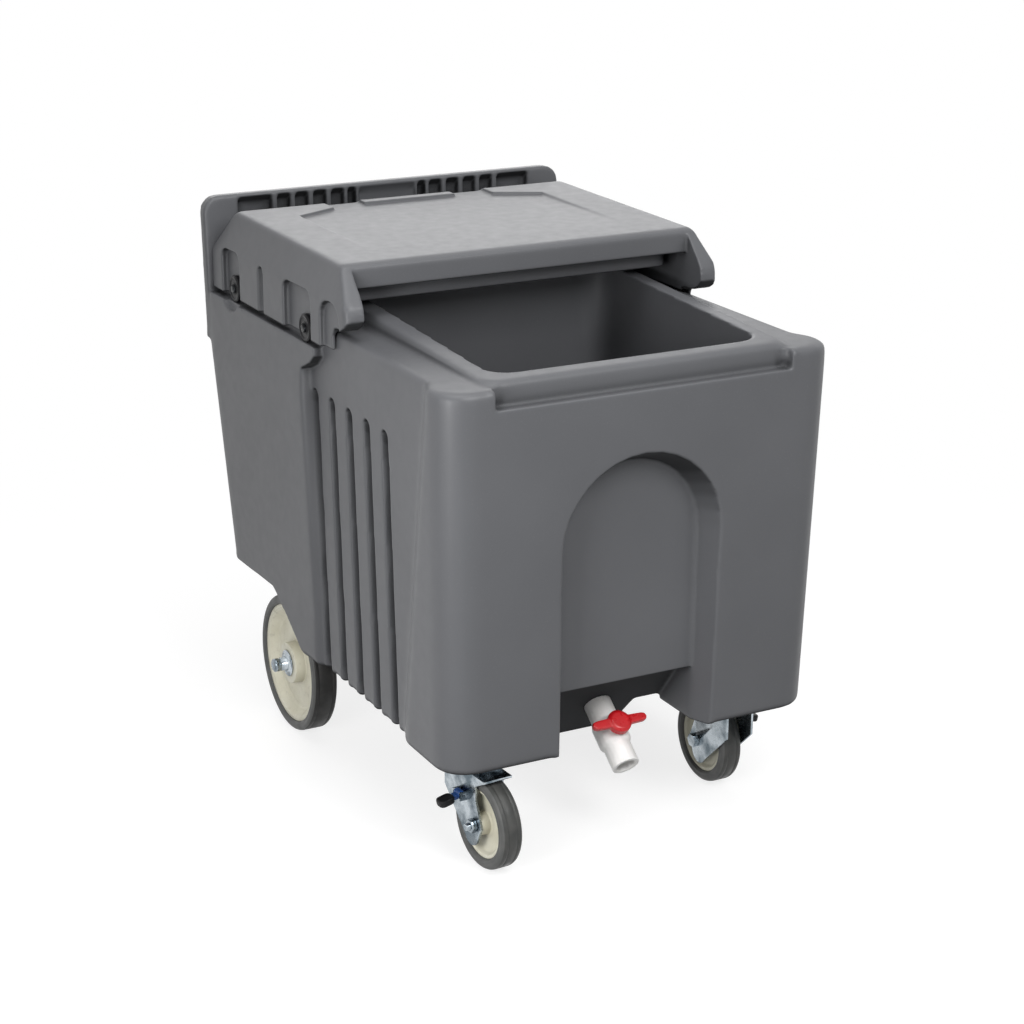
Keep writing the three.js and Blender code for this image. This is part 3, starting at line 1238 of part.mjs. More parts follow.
function addLidGear(group) {
  for (const [side, hand] of [[-1, "left"], [1, "right"]])
    for (const [y, end] of [[ROLLER_REAR_Y, "rear"], [ROLLER_FRONT_Y, "front"]]) {
      const [inner, outer] = [side * (ROLLER_FACE_X - ROLLER_WIDTH), side * ROLLER_FACE_X];
      const edge = ROLLER_R - ROLLER_EDGE;
      const bore = ROLLER_BOLT_R + FIT;
      const wheel = turnedX(
        [
          [inner, bore],
          [inner, edge],
          [inner + side * ROLLER_EDGE, ROLLER_R],
          [outer - side * ROLLER_EDGE, ROLLER_R],
          [outer, edge],
          [outer, bore],
        ],
        18,
      );
      piece(group, `lid_roller_${end}_${hand}`, wheel, BLACK_PLASTIC, V(0, y, ROLLER_Z));
      const head = outer + side * GAP;
      const tip = side * (LID_HALF - SKIRT_WALL + FIT);
      const bolt = turnedX(
        [
          [head + side * ROLLER_HEAD, 0],
          [head + side * ROLLER_HEAD, ROLLER_HEAD_R * 0.8],
          [head, ROLLER_HEAD_R],
          [head, ROLLER_BOLT_R],
          [tip, ROLLER_BOLT_R],
          [tip, 0],
        ],
        ROD_FACETS,
      );
      piece(group, `lid_roller_bolt_${end}_${hand}`, bolt, ZINC, V(0, y, ROLLER_Z));
    }
}

function addRearWheels(group) {
  const centre = (side) => V(side * (REAR_WHEEL_FACE_X - REAR_TYRE_WIDTH / 2), REAR_WHEEL_Y, REAR_WHEEL_R);
  const axle = turnedX(
    [
      [-AXLE_END_X, 0],
      [-AXLE_END_X, AXLE_R - AXLE_CHAMFER],
      [-AXLE_END_X + AXLE_CHAMFER, AXLE_R],
      [AXLE_END_X - AXLE_CHAMFER, AXLE_R],
      [AXLE_END_X, AXLE_R - AXLE_CHAMFER],
      [AXLE_END_X, 0],
    ],
    ROD_FACETS,
  );
  piece(group, "rear_axle", axle, ZINC, V(0, REAR_WHEEL_Y, REAR_WHEEL_R));
  const start = REAR_TYRE_WIDTH / 2 - REAR_BOSS_SINK + GAP;
  const nut = turnedX(
    [
      [start, AXLE_R + GAP],
      [start, PUSH_NUT_R],
      [start + PUSH_NUT_THICKNESS / 2, PUSH_NUT_R],
      [start + PUSH_NUT_THICKNESS / 2, PUSH_NUT_DISH_R],
      [start + PUSH_NUT_THICKNESS, PUSH_NUT_DISH_R - PUSH_NUT_THICKNESS / 2],
      [start + PUSH_NUT_THICKNESS, AXLE_R + GAP],
    ],
    ROD_FACETS,
  );
  const rubber = tyre(REAR_WHEEL_R, REAR_TYRE_WIDTH, REAR_TYRE_DEPTH, REAR_TYRE_SHOULDER, WHEEL_FACETS);
  for (const [side, hand] of [[-1, "left"], [1, "right"]]) {
    const turn = side > 0 ? [0, 0, 0] : [0, 0, Math.PI];
    piece(group, `rear_wheel_hub_${hand}`, rearHub(), CREAM_PLASTIC, centre(side), turn);
    piece(group, `rear_wheel_tyre_${hand}`, rubber, GREY_RUBBER, centre(side), turn);
    piece(group, `rear_wheel_push_nut_${hand}`, nut, ZINC, centre(side), turn);
  }
}

function addDrain(group) {
  const drain = new THREE.Group();
  drain.position.set(0, DRAIN_Y, DRAIN_Z);
  drain.rotation.x = DRAIN_TILT_DEG * RADIANS;
  group.add(drain);
  const middle = V(0, -VALVE_MIDDLE, 0);
  piece(drain, "drain_nipple", nipple(), WHITE_PLASTIC);
  piece(drain, "drain_valve_body", valveBody(), WHITE_PLASTIC);
  piece(drain, "drain_valve_ball", valveBall(), WHITE_PLASTIC, middle);
  piece(drain, "drain_valve_stem", valveStem(), WHITE_PLASTIC, middle);
  piece(drain, "drain_valve_handle", valveHandle(), RED_PLASTIC, middle);
}

function addCaster(group, hand, side, turnDegrees) {
  const fixed = new THREE.Group();
  fixed.position.set(side * CASTER_X, CASTER_Y, 0);
  group.add(fixed);
  const name = (what) => `caster_${hand}_${what}`;
  piece(fixed, name("top_plate"), casterPlate(), ZINC);
  piece(fixed, name("kingpin"), kingpin(), ZINC);
  boltPlaces().forEach(([x, y], i) =>
    piece(fixed, name(`mounting_bolt_${i + 1}`), plateBolt(), ZINC, V(x, y, 0)),
  );
  const swivel = new THREE.Group();
  swivel.rotation.z = turnDegrees * RADIANS;
  fixed.add(swivel);
  const hub = V(0, CASTER_TRAIL, CASTER_R);
  piece(swivel, name("fork"), casterFork(), ZINC);
  piece(swivel, name("wheel_hub"), casterHub(), CREAM_PLASTIC, hub);
  const rubber = tyre(CASTER_R, CASTER_TYRE_WIDTH, CASTER_TYRE_DEPTH, CASTER_SHOULDER, CASTER_FACETS);
  piece(swivel, name("tyre"), rubber, GREY_RUBBER, hub);
  piece(swivel, name("axle_bolt"), casterAxle(), ZINC, hub);
  piece(swivel, name("axle_nut"), casterNut(), ZINC, hub);
  const pinHalf = BRAKE_BARREL_LENGTH / 2 + FIT + BRAKE_EAR;
  const pin = rod(V(0, -pinHalf, 0), V(0, pinHalf, 0), BRAKE_PIN_R, SMALL_FACETS);
  const pivot = brakeAxis(0);
  const drop = [0, PEDAL_DROP_DEG * RADIANS, 0];
  piece(swivel, name("brake_pin"), pin, ZINC, pivot);
  piece(swivel, name("brake_barrel"), brakeBarrel(), BLUE_PLASTIC, pivot, drop);
  piece(swivel, name("brake_pedal"), brakePedal(), BLACK_PLASTIC, pivot, drop);
}

// The whole bin, with its origin on the floor under the middle of its outer box
const bin = new THREE.Group();
piece(bin, "bin_body", binBody(), GREY_MOULDING);
piece(bin, "drain_shelf", drainShelf(), GREY_MOULDING);
piece(bin, "sliding_lid", slidingLid(), GREY_MOULDING);
addLidGear(bin);
addRearWheels(bin);
addDrain(bin);
addCaster(bin, "left", -1, LEFT_CASTER_TURN_DEG);
addCaster(bin, "right", 1, 0);

bin.updateMatrixWorld(true);
const outerBox = new THREE.Box3().setFromObject(bin, true);
bin.position.y = -(outerBox.min.y + outerBox.max.y) / 2;

export default bin;
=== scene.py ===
"""Looks of a mobile ice bin: grey moulded body and lid, wheels, casters and drain valve, on a pale floor."""
import json
import math

import bmesh
import bpy
import numpy as np
from mathutils import Matrix, Vector


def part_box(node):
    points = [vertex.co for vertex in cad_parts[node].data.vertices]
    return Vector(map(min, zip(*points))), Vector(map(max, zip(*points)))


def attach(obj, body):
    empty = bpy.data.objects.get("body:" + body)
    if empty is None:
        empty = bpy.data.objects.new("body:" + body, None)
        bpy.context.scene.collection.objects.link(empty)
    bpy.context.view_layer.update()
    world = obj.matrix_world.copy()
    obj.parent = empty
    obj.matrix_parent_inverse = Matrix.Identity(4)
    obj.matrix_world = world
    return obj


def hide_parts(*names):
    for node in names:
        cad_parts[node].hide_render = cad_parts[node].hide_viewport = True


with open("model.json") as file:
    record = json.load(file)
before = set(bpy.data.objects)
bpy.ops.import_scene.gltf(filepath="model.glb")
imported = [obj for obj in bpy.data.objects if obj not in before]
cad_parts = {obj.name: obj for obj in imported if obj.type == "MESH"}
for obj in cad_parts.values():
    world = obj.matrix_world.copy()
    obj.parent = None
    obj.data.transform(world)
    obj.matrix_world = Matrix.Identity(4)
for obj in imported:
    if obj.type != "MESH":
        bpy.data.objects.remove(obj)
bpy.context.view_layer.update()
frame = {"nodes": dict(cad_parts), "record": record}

RECORD = frame["record"]
NODES = frame["nodes"]
JOINTS = {joint["name"]: joint for joint in RECORD["behaviour"]["joints"]}
HANDS = ("left", "right")
MM = 0.001

# How far the model stands back from the drawing's own zero, along Y
SHIFT_Y = 5.427 * MM


def at(x, y, z):
    """A point of the drawing, in millimetres, as a place in the scene."""
    return Vector((x * MM, y * MM + SHIFT_Y, z * MM))


def link(obj):
    bpy.context.scene.collection.objects.link(obj)
    return obj


# Camera, fitted to the photo: distance and aim in millimetres, focal length and optical centre in pixels
AZIMUTH, ELEVATION = math.radians(-27.0), math.radians(19.1)
DISTANCE = 3304.6
AIM = (-49.5, 0.0, 345.2)
FRAME_PX = 1024
FOCAL_PX = 2281.2
CENTRE_PX = (471.4, 527.2)
SENSOR_MM = 36
VIEW_END_M = 60


def add_camera():
    data = bpy.data.cameras.new("camera")
    data.sensor_width = SENSOR_MM
    data.lens = FOCAL_PX / FRAME_PX * SENSOR_MM
    data.shift_x = (FRAME_PX / 2 - CENTRE_PX[0]) / FRAME_PX
    data.shift_y = (CENTRE_PX[1] - FRAME_PX / 2) / FRAME_PX
    data.clip_end = VIEW_END_M
    camera = link(bpy.data.objects.new("camera", data))
    back = Vector((
        math.sin(AZIMUTH) * math.cos(ELEVATION),
        -math.cos(AZIMUTH) * math.cos(ELEVATION),
        math.sin(ELEVATION),
    ))
    camera.location = at(*AIM) + back * DISTANCE * MM
    camera.rotation_euler = back.to_track_quat("Z", "Y").to_euler()
    bpy.context.scene.camera = camera


# Materials

# Sockets of a mix node for each kind of data: first value, second value, result
MIX_SOCKETS = {"FLOAT": (2, 3, 0), "RGBA": (6, 7, 2)}
HOLLOW_SAMPLES = 8
# Dust lies on the moulding from the first height, in metres, and is full at the second
DUST_Z = (0.30, 0.15)
# Painted shade lies on faces that look down: none at the first Z of the normal, full at the second
DOWNWARD = (-0.12, -0.7)
# Width of the hollows that get painted shade, in metres
MOULDING_HOLLOW = 0.022
HUB_HOLLOW = 0.03


def srgb(*value):
    """Linear colour from 0-255 values as they look on screen."""
    out = []
    for v in value:
        c = v / 255
        out.append(c / 12.92 if c <= 0.04045 else ((c + 0.055) / 1.055) ** 2.4)
    return (*out, 1.0)


class Graph:
    """The node tree of a material or world, with short forms for the nodes used here."""

    def __init__(self, owner):
        owner.use_nodes = True
        self.tree = owner.node_tree

    def node(self, kind, **values):
        node = self.tree.nodes.new(kind)
        for key, value in values.items():
            setattr(node, key, value)
        return node

    def feed(self, value, socket):
        """A socket's output is linked, and any other value is set."""
        if isinstance(value, bpy.types.NodeSocket):
            self.tree.links.new(value, socket)
        else:
            socket.default_value = value

    def maths(self, operation, a, b):
        node = self.node("ShaderNodeMath", operation=operation)
        self.feed(a, node.inputs[0])
        self.feed(b, node.inputs[1])
        return node.outputs[0]

    def spread(self, fac, low, high, out_low=0.0, out_high=1.0, **values):
        """The value, mapped from low..high to out_low..out_high and held at both ends."""
        node = self.node("ShaderNodeMapRange", **values)
        for key, value in zip(("From Min", "From Max", "To Min", "To Max"), (low, high, out_low, out_high)):
            node.inputs[key].default_value = value
        self.feed(fac, node.inputs["Value"])
        return node.outputs["Result"]

    def seen_directly(self):
        """1 for rays from the camera, a mirror or through glass, 0 for the light that falls on things."""
        path = self.node("ShaderNodeLightPath").outputs
        mirrored = self.maths("MAXIMUM", path["Is Camera Ray"], path["Is Glossy Ray"])
        return self.maths("MAXIMUM", mirrored, path["Is Transmission Ray"])

    def finish(self, output, fac, first, second):
        """The output node shows the first shader where fac is 0 and the second where it is 1."""
        node = self.node("ShaderNodeMixShader")
        for value, socket in zip((fac, first, second), node.inputs):
            self.feed(value, socket)
        self.feed(node.outputs[0], self.tree.nodes[output].inputs["Surface"])


class Look(Graph):
    """A material with a Principled shader. Its plain roughness serves programs that don't follow nodes."""

    def __init__(self, name, roughness, metallic=0.0, specular=0.5):
        self.material = bpy.data.materials.new(name)
        super().__init__(self.material)
        self.shader = self.tree.nodes["Principled BSDF"]
        self.shader.inputs["Roughness"].default_value = roughness
        self.shader.inputs["Metallic"].default_value = metallic
        self.shader.inputs["Specular IOR Level"].default_value = specular
        self.coords = self.node("ShaderNodeTexCoord").outputs

    def noise(self, scale, detail, stretch=None, roughness=0.5):
        """Noise per metre. Where stretch is more than 1 along an axis, the marks are shorter along it."""
        node = self.node("ShaderNodeTexNoise")
        for key, value in (("Scale", scale), ("Detail", detail), ("Roughness", roughness)):
            node.inputs[key].default_value = value
        vector = self.coords["Object"]
        if stretch:
            mapping = self.node("ShaderNodeMapping")
            mapping.inputs["Scale"].default_value = stretch
            self.feed(vector, mapping.inputs["Vector"])
            vector = mapping.outputs["Vector"]
        self.feed(vector, node.inputs["Vector"])
        return node.outputs["Fac"]

    def mix(self, fac, a, b, data_type="RGBA"):
        """a where fac is 0, b where it is 1."""
        node = self.node("ShaderNodeMix", data_type=data_type)
        first, second, result = MIX_SOCKETS[data_type]
        self.feed(fac, node.inputs["Factor"])
        self.feed(a, node.inputs[first])
        self.feed(b, node.inputs[second])
        return node.outputs[result]

    def colour(self, value):
        self.feed(value, self.shader.inputs["Base Color"])

    def rough(self, value):
        self.feed(value, self.shader.inputs["Roughness"])

    def bump(self, height, strength, distance):
        """Bump on top of the bump that the shader has already."""
        node = self.node("ShaderNodeBump")
        node.inputs["Strength"].default_value = strength
        node.inputs["Distance"].default_value = distance
        self.feed(height, node.inputs["Height"])
        normal = self.shader.inputs["Normal"]
        if normal.is_linked:
            self.feed(normal.links[0].from_socket, node.inputs["Normal"])
        self.feed(node.outputs["Normal"], normal)

    def openness(self, reach):
        """1 on open faces, less in hollows of the same piece narrower than the reach."""
        node = self.node("ShaderNodeAmbientOcclusion", samples=HOLLOW_SAMPLES, only_local=True)
        node.inputs["Distance"].default_value = reach
        return node.outputs["AO"]

    def z_of(self, output):
        """The Z part of one of the texture coordinates."""
        node = self.node("ShaderNodeSeparateXYZ")
        self.feed(self.coords[output], node.inputs["Vector"])
        return node.outputs["Z"]


def moulding_look(name, base, dark, light, painted_shade_colour):
    """Moulded polyethylene: cloudy tone, orange peel, level scuffs, dust low down, and painted shade in
    hollows and on faces that look down.
    """
    look = Look(name, roughness=0.42, specular=0.3)
    clouds = look.spread(look.noise(5.0, 4.0), 0.32, 0.68)
    specks = look.spread(look.noise(420.0, 2.0), 0.62, 0.8, 0.0, 0.3)
    scuffs = look.spread(look.noise(26.0, 8.0, (0.35, 0.35, 2.6), 0.7), 0.68, 0.8, 0.0, 0.16)
    patches = look.spread(look.noise(38.0, 5.0), 0.45, 0.75, 0.0, 0.35)
    dust = look.maths("MULTIPLY", look.spread(look.z_of("Object"), *DUST_Z), patches)
    tone = look.mix(clouds, dark, base)
    for layer, layer_colour in ((specks, light), (scuffs, light), (dust, dark)):
        tone = look.mix(layer, tone, layer_colour)
    # Painted shade: faces that look down and narrow hollows are darkened towards the last colour and made
    # fully rough.
    below = look.spread(look.z_of("Normal"), *DOWNWARD, 0.0, 0.95)
    hollows = look.spread(look.openness(MOULDING_HOLLOW), 0.42, 0.9, 0.94, 0.0)
    painted_shade = look.maths("MAXIMUM", below, hollows)
    look.colour(look.mix(painted_shade, tone, painted_shade_colour))
    satin = look.spread(look.noise(60.0, 5.0), 0.3, 0.7, 0.38, 0.44)
    look.rough(look.mix(painted_shade, satin, 1.0, "FLOAT"))
    look.bump(look.noise(7.0, 2.0), 0.12, 0.0006)
    look.bump(look.noise(330.0, 3.0), 0.12, 0.0003)
    return look.material


def hub_look(name, base, dark, smear, painted_shade_colour):
    """Cream plastic, a little yellowed and smeared, with painted shade in its hollows."""
    look = Look(name, roughness=0.42, specular=0.45)
    tone = look.mix(look.spread(look.noise(30.0, 5.0), 0.35, 0.72), base, dark)
    tone = look.mix(look.spread(look.noise(120.0, 6.0), 0.6, 0.82, 0.0, 0.35), tone, smear)
    # Painted shade: the hub's narrow hollows are darkened towards the last colour.
    hollows = look.spread(look.openness(HUB_HOLLOW), 0.3, 0.9, 0.75, 0.0)
    look.colour(look.mix(hollows, tone, painted_shade_colour))
    look.rough(look.spread(look.noise(90.0, 4.0), 0.3, 0.7, 0.34, 0.52))
    look.bump(look.noise(240.0, 3.0), 0.2, 0.0004)
    return look.material


def rubber_look(name, base, worn, roughness):
    look = Look(name, roughness=roughness, specular=0.28)
    tone = look.mix(look.spread(look.noise(45.0, 6.0), 0.35, 0.7), base, worn)
    look.colour(look.mix(look.spread(look.noise(300.0, 4.0), 0.55, 0.8, 0.0, 0.3), tone, worn))
    look.rough(look.spread(look.noise(70.0, 5.0), 0.3, 0.7, roughness - 0.08, roughness + 0.12))
    look.bump(look.noise(500.0, 3.0), 0.25, 0.0003)
    return look.material


def metal_look(name, base, dark, roughness):
    """Metal with fine level marks."""
    look = Look(name, roughness=roughness, metallic=1.0)
    tone = look.mix(look.spread(look.noise(34.0, 4.0), 0.4, 0.62), base, dark)
    look.colour(look.mix(look.spread(look.noise(900.0, 2.0), 0.6, 0.75, 0.0, 0.3), tone, dark))
    marks = look.noise(120.0, 4.0, (1.0, 1.0, 6.0))
    look.rough(look.spread(marks, 0.3, 0.7, roughness - 0.08, roughness + 0.12))
    look.bump(look.noise(600.0, 2.0, (1.0, 1.0, 4.0)), 0.1, 0.0002)
    return look.material


def plastic_look(name, base, dark, roughness, specular=0.5):
    look = Look(name, roughness=roughness, specular=specular)
    look.colour(look.mix(look.spread(look.noise(40.0, 5.0), 0.35, 0.7), base, dark))
    look.rough(look.spread(look.noise(110.0, 4.0), 0.3, 0.7, roughness - 0.06, roughness + 0.12))
    look.bump(look.noise(260.0, 3.0), 0.12, 0.0003)
    return look.material


LOOKS = {
    "grey_moulding": moulding_look(
        "grey_polyethylene",
        # Base, dark and light, then the painted shade for hollows and faces that look down.
        srgb(93, 94, 97), srgb(88, 89, 92), srgb(110, 111, 114), srgb(20, 21, 23),
    ),
    "cream_plastic": hub_look(
        "cream_wheel_plastic",
        # Base, dark and smear, then the painted shade for the hub's hollows.
        srgb(234, 231, 213), srgb(218, 214, 193), srgb(140, 134, 118), srgb(112, 105, 84),
    ),
    "grey_rubber": rubber_look("grey_tyre_side", srgb(84, 85, 84), srgb(97, 97, 96), 0.46),
    "black_plastic": plastic_look("black_nylon", srgb(18, 18, 20), srgb(27, 27, 29), 0.36, 0.18),
    "zinc": metal_look("bright_zinc", srgb(186, 194, 200), srgb(98, 110, 118), 0.22),
    "white_plastic": plastic_look("white_pvc", srgb(243, 242, 240), srgb(234, 233, 230), 0.3),
    "red_plastic": plastic_look("red_valve_plastic", srgb(200, 22, 31), srgb(178, 16, 24), 0.3),
    "blue_plastic": plastic_look("blue_brake_plastic", srgb(34, 78, 142), srgb(22, 56, 110), 0.36),
}
# Painted shade: the treads are darker than the tyre sides.
REAR_TREAD = rubber_look("tyre_tread_painted_shade", srgb(34, 34, 33), srgb(50, 49, 48), 0.5)
CASTER_TREAD = rubber_look("caster_tyre_tread_painted_shade", srgb(62, 63, 62), srgb(76, 76, 74), 0.42)
BLACKED = metal_look("blackened_steel", srgb(52, 54, 56), srgb(26, 27, 29), 0.32)


# Pieces and the nodes they stand for
REPLACED = set()


def body_of(node):
    return next(name for name, nodes in RECORD["behaviour"]["bodies"].items() if node in nodes)


def slot_of(node):
    return next(part["material_slot"] for part in RECORD["subparts"] if part["node"] == node)


def stand_in(obj, node, *more_looks):
    """The object shows in place of the node, in the node's finish, and moves with its body."""
    if obj.data.materials:
        obj.data.materials.clear()
    for look in (LOOKS[slot_of(node)], *more_looks):
        obj.data.materials.append(look)
    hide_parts(node)
    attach(obj, body_of(node))
    REPLACED.add(node)
    return obj


def keep_node(node):
    """The CAD node shows as it is, in its slot's material."""
    obj = NODES[node]
    if not obj.material_slots:
        obj.data.materials.append(LOOKS[slot_of(node)])
    for slot in obj.material_slots:
        slot.material = LOOKS[slot_of(node)]


def baked(obj):
    """The object's mesh with its modifiers applied."""
    graph = bpy.context.evaluated_depsgraph_get()
    graph.update()
    mesh = bpy.data.meshes.new_from_object(obj.evaluated_get(graph))
    obj.modifiers.clear()
    obj.data = mesh
    return mesh


def smooth_faces(mesh):
    mesh.polygons.foreach_set("use_smooth", np.ones(len(mesh.polygons), dtype=bool))
    mesh.update()


# Moulded skins: size of a voxel in millimetres, rounds of softening everywhere, and rounds on facets only
SKINS = {
    "bin_body": (2.2, 2, 32),
    "sliding_lid": (1.7, 2, 10),
    "drain_valve_body": (0.8, 2, 14),
    "drain_valve_handle": (0.7, 2, 10),
    "brake_pedal": (0.6, 3, 6),
    "drain_shelf": (1.5, 1, 6),
}
# Neighbouring normals whose product is under the first value lie on a real edge, over the second on a facet
FACET_DOT = (0.93, 0.985)
# How many vertices beside a real edge are held with it
EDGE_MARGIN = 2


def rows_of(items, attribute):
    """An attribute of three numbers, as one row for each item."""
    values = np.empty(len(items) * 3)
    items.foreach_get(attribute, values)
    return values.reshape(-1, 3)


def edge_ends(mesh):
    ends = np.empty(len(mesh.edges) * 2, dtype=np.int64)
    mesh.edges.foreach_get("vertices", ends)
    return ends.reshape(-1, 2)


def relaxed(points, edges, rounds, weights):
    """Points moved half way to the middle of their neighbours, each by its weight, a number of times."""
    a, b = edges[:, 0], edges[:, 1]
    count = len(points)
    degree = np.maximum(np.bincount(a, minlength=count) + np.bincount(b, minlength=count), 1)
    for _ in range(rounds):
        for axis in range(3):
            line = points[:, axis]
            total = np.bincount(a, line[b], count) + np.bincount(b, line[a], count)
            points[:, axis] = line + weights * 0.5 * (total / degree - line)
    return points


def facet_weights(normals, edges):
    """1 where the skin is flat or only facetted, down to 0 on real edges and right beside them."""
    a, b = edges[:, 0], edges[:, 1]
    agree = np.einsum("ij,ij->i", normals[a], normals[b])
    flat = np.ones(len(normals))
    np.minimum.at(flat, a, agree)
    np.minimum.at(flat, b, agree)
    for _ in range(EDGE_MARGIN):
        near = flat.copy()
        np.minimum.at(near, a, flat[b])
        np.minimum.at(near, b, flat[a])
        flat = near
    edge, facet = FACET_DOT
    return np.clip((flat - edge) / (facet - edge), 0, 1)


def moulded(node, skin, carve=None):
    """The node as a moulded skin: real edges get a small round, and facets of wide curves melt away."""
    voxel, edge_rounds, face_rounds = SKINS[skin]
    obj = link(bpy.data.objects.new(node + "_skin", NODES[node].data.copy()))
    remesh = obj.modifiers.new("remesh", "REMESH")
    remesh.mode = "VOXEL"
    remesh.voxel_size = voxel * MM
    mesh = baked(obj)
    edges = edge_ends(mesh)
    points = relaxed(rows_of(mesh.vertices, "co"), edges, edge_rounds, np.ones(len(mesh.vertices)))
    mesh.vertices.foreach_set("co", points.ravel())
    mesh.update()
    points = relaxed(points, edges, face_rounds, facet_weights(rows_of(mesh.vertices, "normal"), edges))
    if carve:
        carve(points)
    mesh.vertices.foreach_set("co", points.ravel())
    smooth_faces(mesh)
    stand_in(obj, node)


# The flutes in the two sides, in millimetres: the first one's middle at its top, the distance between them,
# how far they lean, their half width and the heights of their ends. A point deeper than least and less deep
# than most is in a flute. It is set deeper by deepen times its depth, in full from the depth blend on.
FLUTE = {
    "y": 34, "pitch": 56.8, "count": 5, "lean": 9, "half": 10.6, "top": 563, "foot": 146,
    "least": 0.2, "most": 12, "blend": 2.5, "deepen": 1.7,
}
# The side that the flutes are cut into: half width at its top, heights of its ends, and how far it draws in
SIDE = {"half": 277, "top": 641, "foot": 152, "draft": 9}


def deepen_flutes(points):
    """The flutes become narrow deep grooves with steep walls."""
    x, y, z = points[:, 0] / MM, (points[:, 1] - SHIFT_Y) / MM, points[:, 2] / MM
    down = np.clip((SIDE["top"] - z) / (SIDE["top"] - SIDE["foot"]), 0, 1)
    depth = SIDE["half"] - SIDE["draft"] * down - np.abs(x)
    along = (FLUTE["top"] - z) / (FLUTE["top"] - FLUTE["foot"])
    middle = FLUTE["y"] - FLUTE["lean"] * np.clip(along, 0, 1)
    offset = middle - y
    turn = np.clip(np.round(offset / FLUTE["pitch"]), 0, FLUTE["count"] - 1)
    aside = np.abs(offset - turn * FLUTE["pitch"])
    inside = (aside < FLUTE["half"]) & (z < FLUTE["top"] + FLUTE["half"])
    inside &= (depth > FLUTE["least"]) & (depth < FLUTE["most"])
    more = np.clip(depth / FLUTE["blend"], 0, 1) * depth * FLUTE["deepen"] * inside
    points[:, 0] -= np.sign(x) * more * MM


# Pieces with bevels: width of each in millimetres, what is joined first, and which edges are broken
BEVELS = {
    "brake_barrel": 0.7, "axle_bolt": 0.5, "axle_nut": 0.5, "top_plate": 0.5, "fork": 0.8, "roller_bolt": 0.4,
}
SAME_PLACE_M = 0.00001
SAME_PLANE = math.radians(1.0)
HARD_EDGE = math.radians(28)
BEVEL_SEGMENTS = 2


def bevelled(node, kind):
    """The node with its hard edges broken."""
    mesh = NODES[node].data.copy()
    shape = bmesh.new()
    shape.from_mesh(mesh)
    bmesh.ops.remove_doubles(shape, verts=shape.verts, dist=SAME_PLACE_M)
    bmesh.ops.dissolve_limit(shape, angle_limit=SAME_PLANE, verts=shape.verts, edges=shape.edges)
    shape.to_mesh(mesh)
    shape.free()
    obj = link(bpy.data.objects.new(node + "_piece", mesh))
    bevel = obj.modifiers.new("bevel", "BEVEL")
    bevel.width = BEVELS[kind] * MM
    bevel.segments = BEVEL_SEGMENTS
    bevel.limit_method = "ANGLE"
    bevel.angle_limit = HARD_EDGE
    bevel.harden_normals = True
    baked(obj)
    smooth_faces(obj.data)
    obj.data.set_sharp_from_angle(angle=HARD_EDGE)
    return stand_in(obj, node)


# Turned pieces: sides of a round piece, sides of a tyre, and parts of each softened corner
ROUND_SIDES = 128
SMALL_ROUND_SIDES = 96
TYRE_SIDES = 160
CORNER_STEPS = 3
# How much of a side of an outline a softened corner may take
CORNER_SHARE = 0.45


def turned(name, profile, sides=ROUND_SIDES, tread_from=math.inf):
    """A mesh turned round X from a closed loop of [x, radius] points in millimetres.

    Faces whose radius is tread_from or more take the second material."""
    mesh = bpy.data.meshes.new(name)
    angles = [2 * math.pi * k / sides for k in range(sides)]
    verts = [(x * MM, r * MM * math.cos(a), r * MM * math.sin(a)) for x, r in profile for a in angles]
    faces, looks = [], []
    for row in range(len(profile)):
        after = (row + 1) % len(profile)
        middle = (profile[row][1] + profile[after][1]) / 2
        for k in range(sides):
            n = (k + 1) % sides
            faces.append((row * sides + k, after * sides + k, after * sides + n, row * sides + n))
            looks.append(int(middle >= tread_from))
    mesh.from_pydata(verts, [], faces)
    mesh.polygons.foreach_set("material_index", looks)
    shape = bmesh.new()
    shape.from_mesh(mesh)
    bmesh.ops.recalc_face_normals(shape, faces=shape.faces)
    shape.to_mesh(mesh)
    shape.free()
    smooth_faces(mesh)
    return mesh


def softened(points, radius):
    """A closed outline with each of its corners cut by a small round."""
    out = []
    count = len(points)
    for i in range(count):
        a, b, c = (np.array(points[j % count], float) for j in (i - 1, i, i + 1))
        u, v = a - b, c - b
        lu, lv = np.linalg.norm(u), np.linalg.norm(v)
        r = min(radius, lu * CORNER_SHARE, lv * CORNER_SHARE)
        start, end = b + u / lu * r, b + v / lv * r
        for k in range(CORNER_STEPS + 1):
            t = k / CORNER_STEPS
            out.append(tuple((1 - t) ** 2 * start + 2 * t * (1 - t) * b + t ** 2 * end))
    return out


def with_mirror(half):
    """A closed outline from the half of it that lies at positive X."""
    return half + [(-x, r) for x, r in reversed(half)]


def on_axle(joint, flip=False):
    """The matrix that lays a mesh turned round X on the axis of a joint."""
    spec = JOINTS[joint]
    axis = Vector(spec["axis"]) * (-1 if flip else 1)
    return Matrix.Translation(Vector(spec["pos_m"])) @ axis.to_track_quat("X", "Z").to_matrix().to_4x4()


def place(name, mesh, matrix, node, *more_looks):
    mesh.transform(matrix)
    mesh.update()
    return stand_in(link(bpy.data.objects.new(name, mesh)), node, *more_looks)


# Wheels, in millimetres: the tyre's radius, width, depth and shoulder, and the radius where the tread begins
REAR = {"radius": 104, "width": 38, "depth": 14, "shoulder": 6, "tread_from": 102.2}
CASTER = {"radius": 63.5, "width": 32, "depth": 15, "shoulder": 7, "tread_from": 61.8}
# A tyre's side from its seat to its bead line: shares of its half width and depth, and what is taken off
TYRE_SIDE = ((0.86, 0, 0), (0.985, 0.14, 0), (1, 0.3, 0), (1, 0.36, 0.5), (1, 0.44, 0.1))
SHOULDER_STEPS = 5
# The fine groove beside each shoulder: distance from the shoulder, half width and depth
GROOVE = {"inset": 2.4, "half": 0.7, "depth": 0.8}
HUB_GAP = 0.3
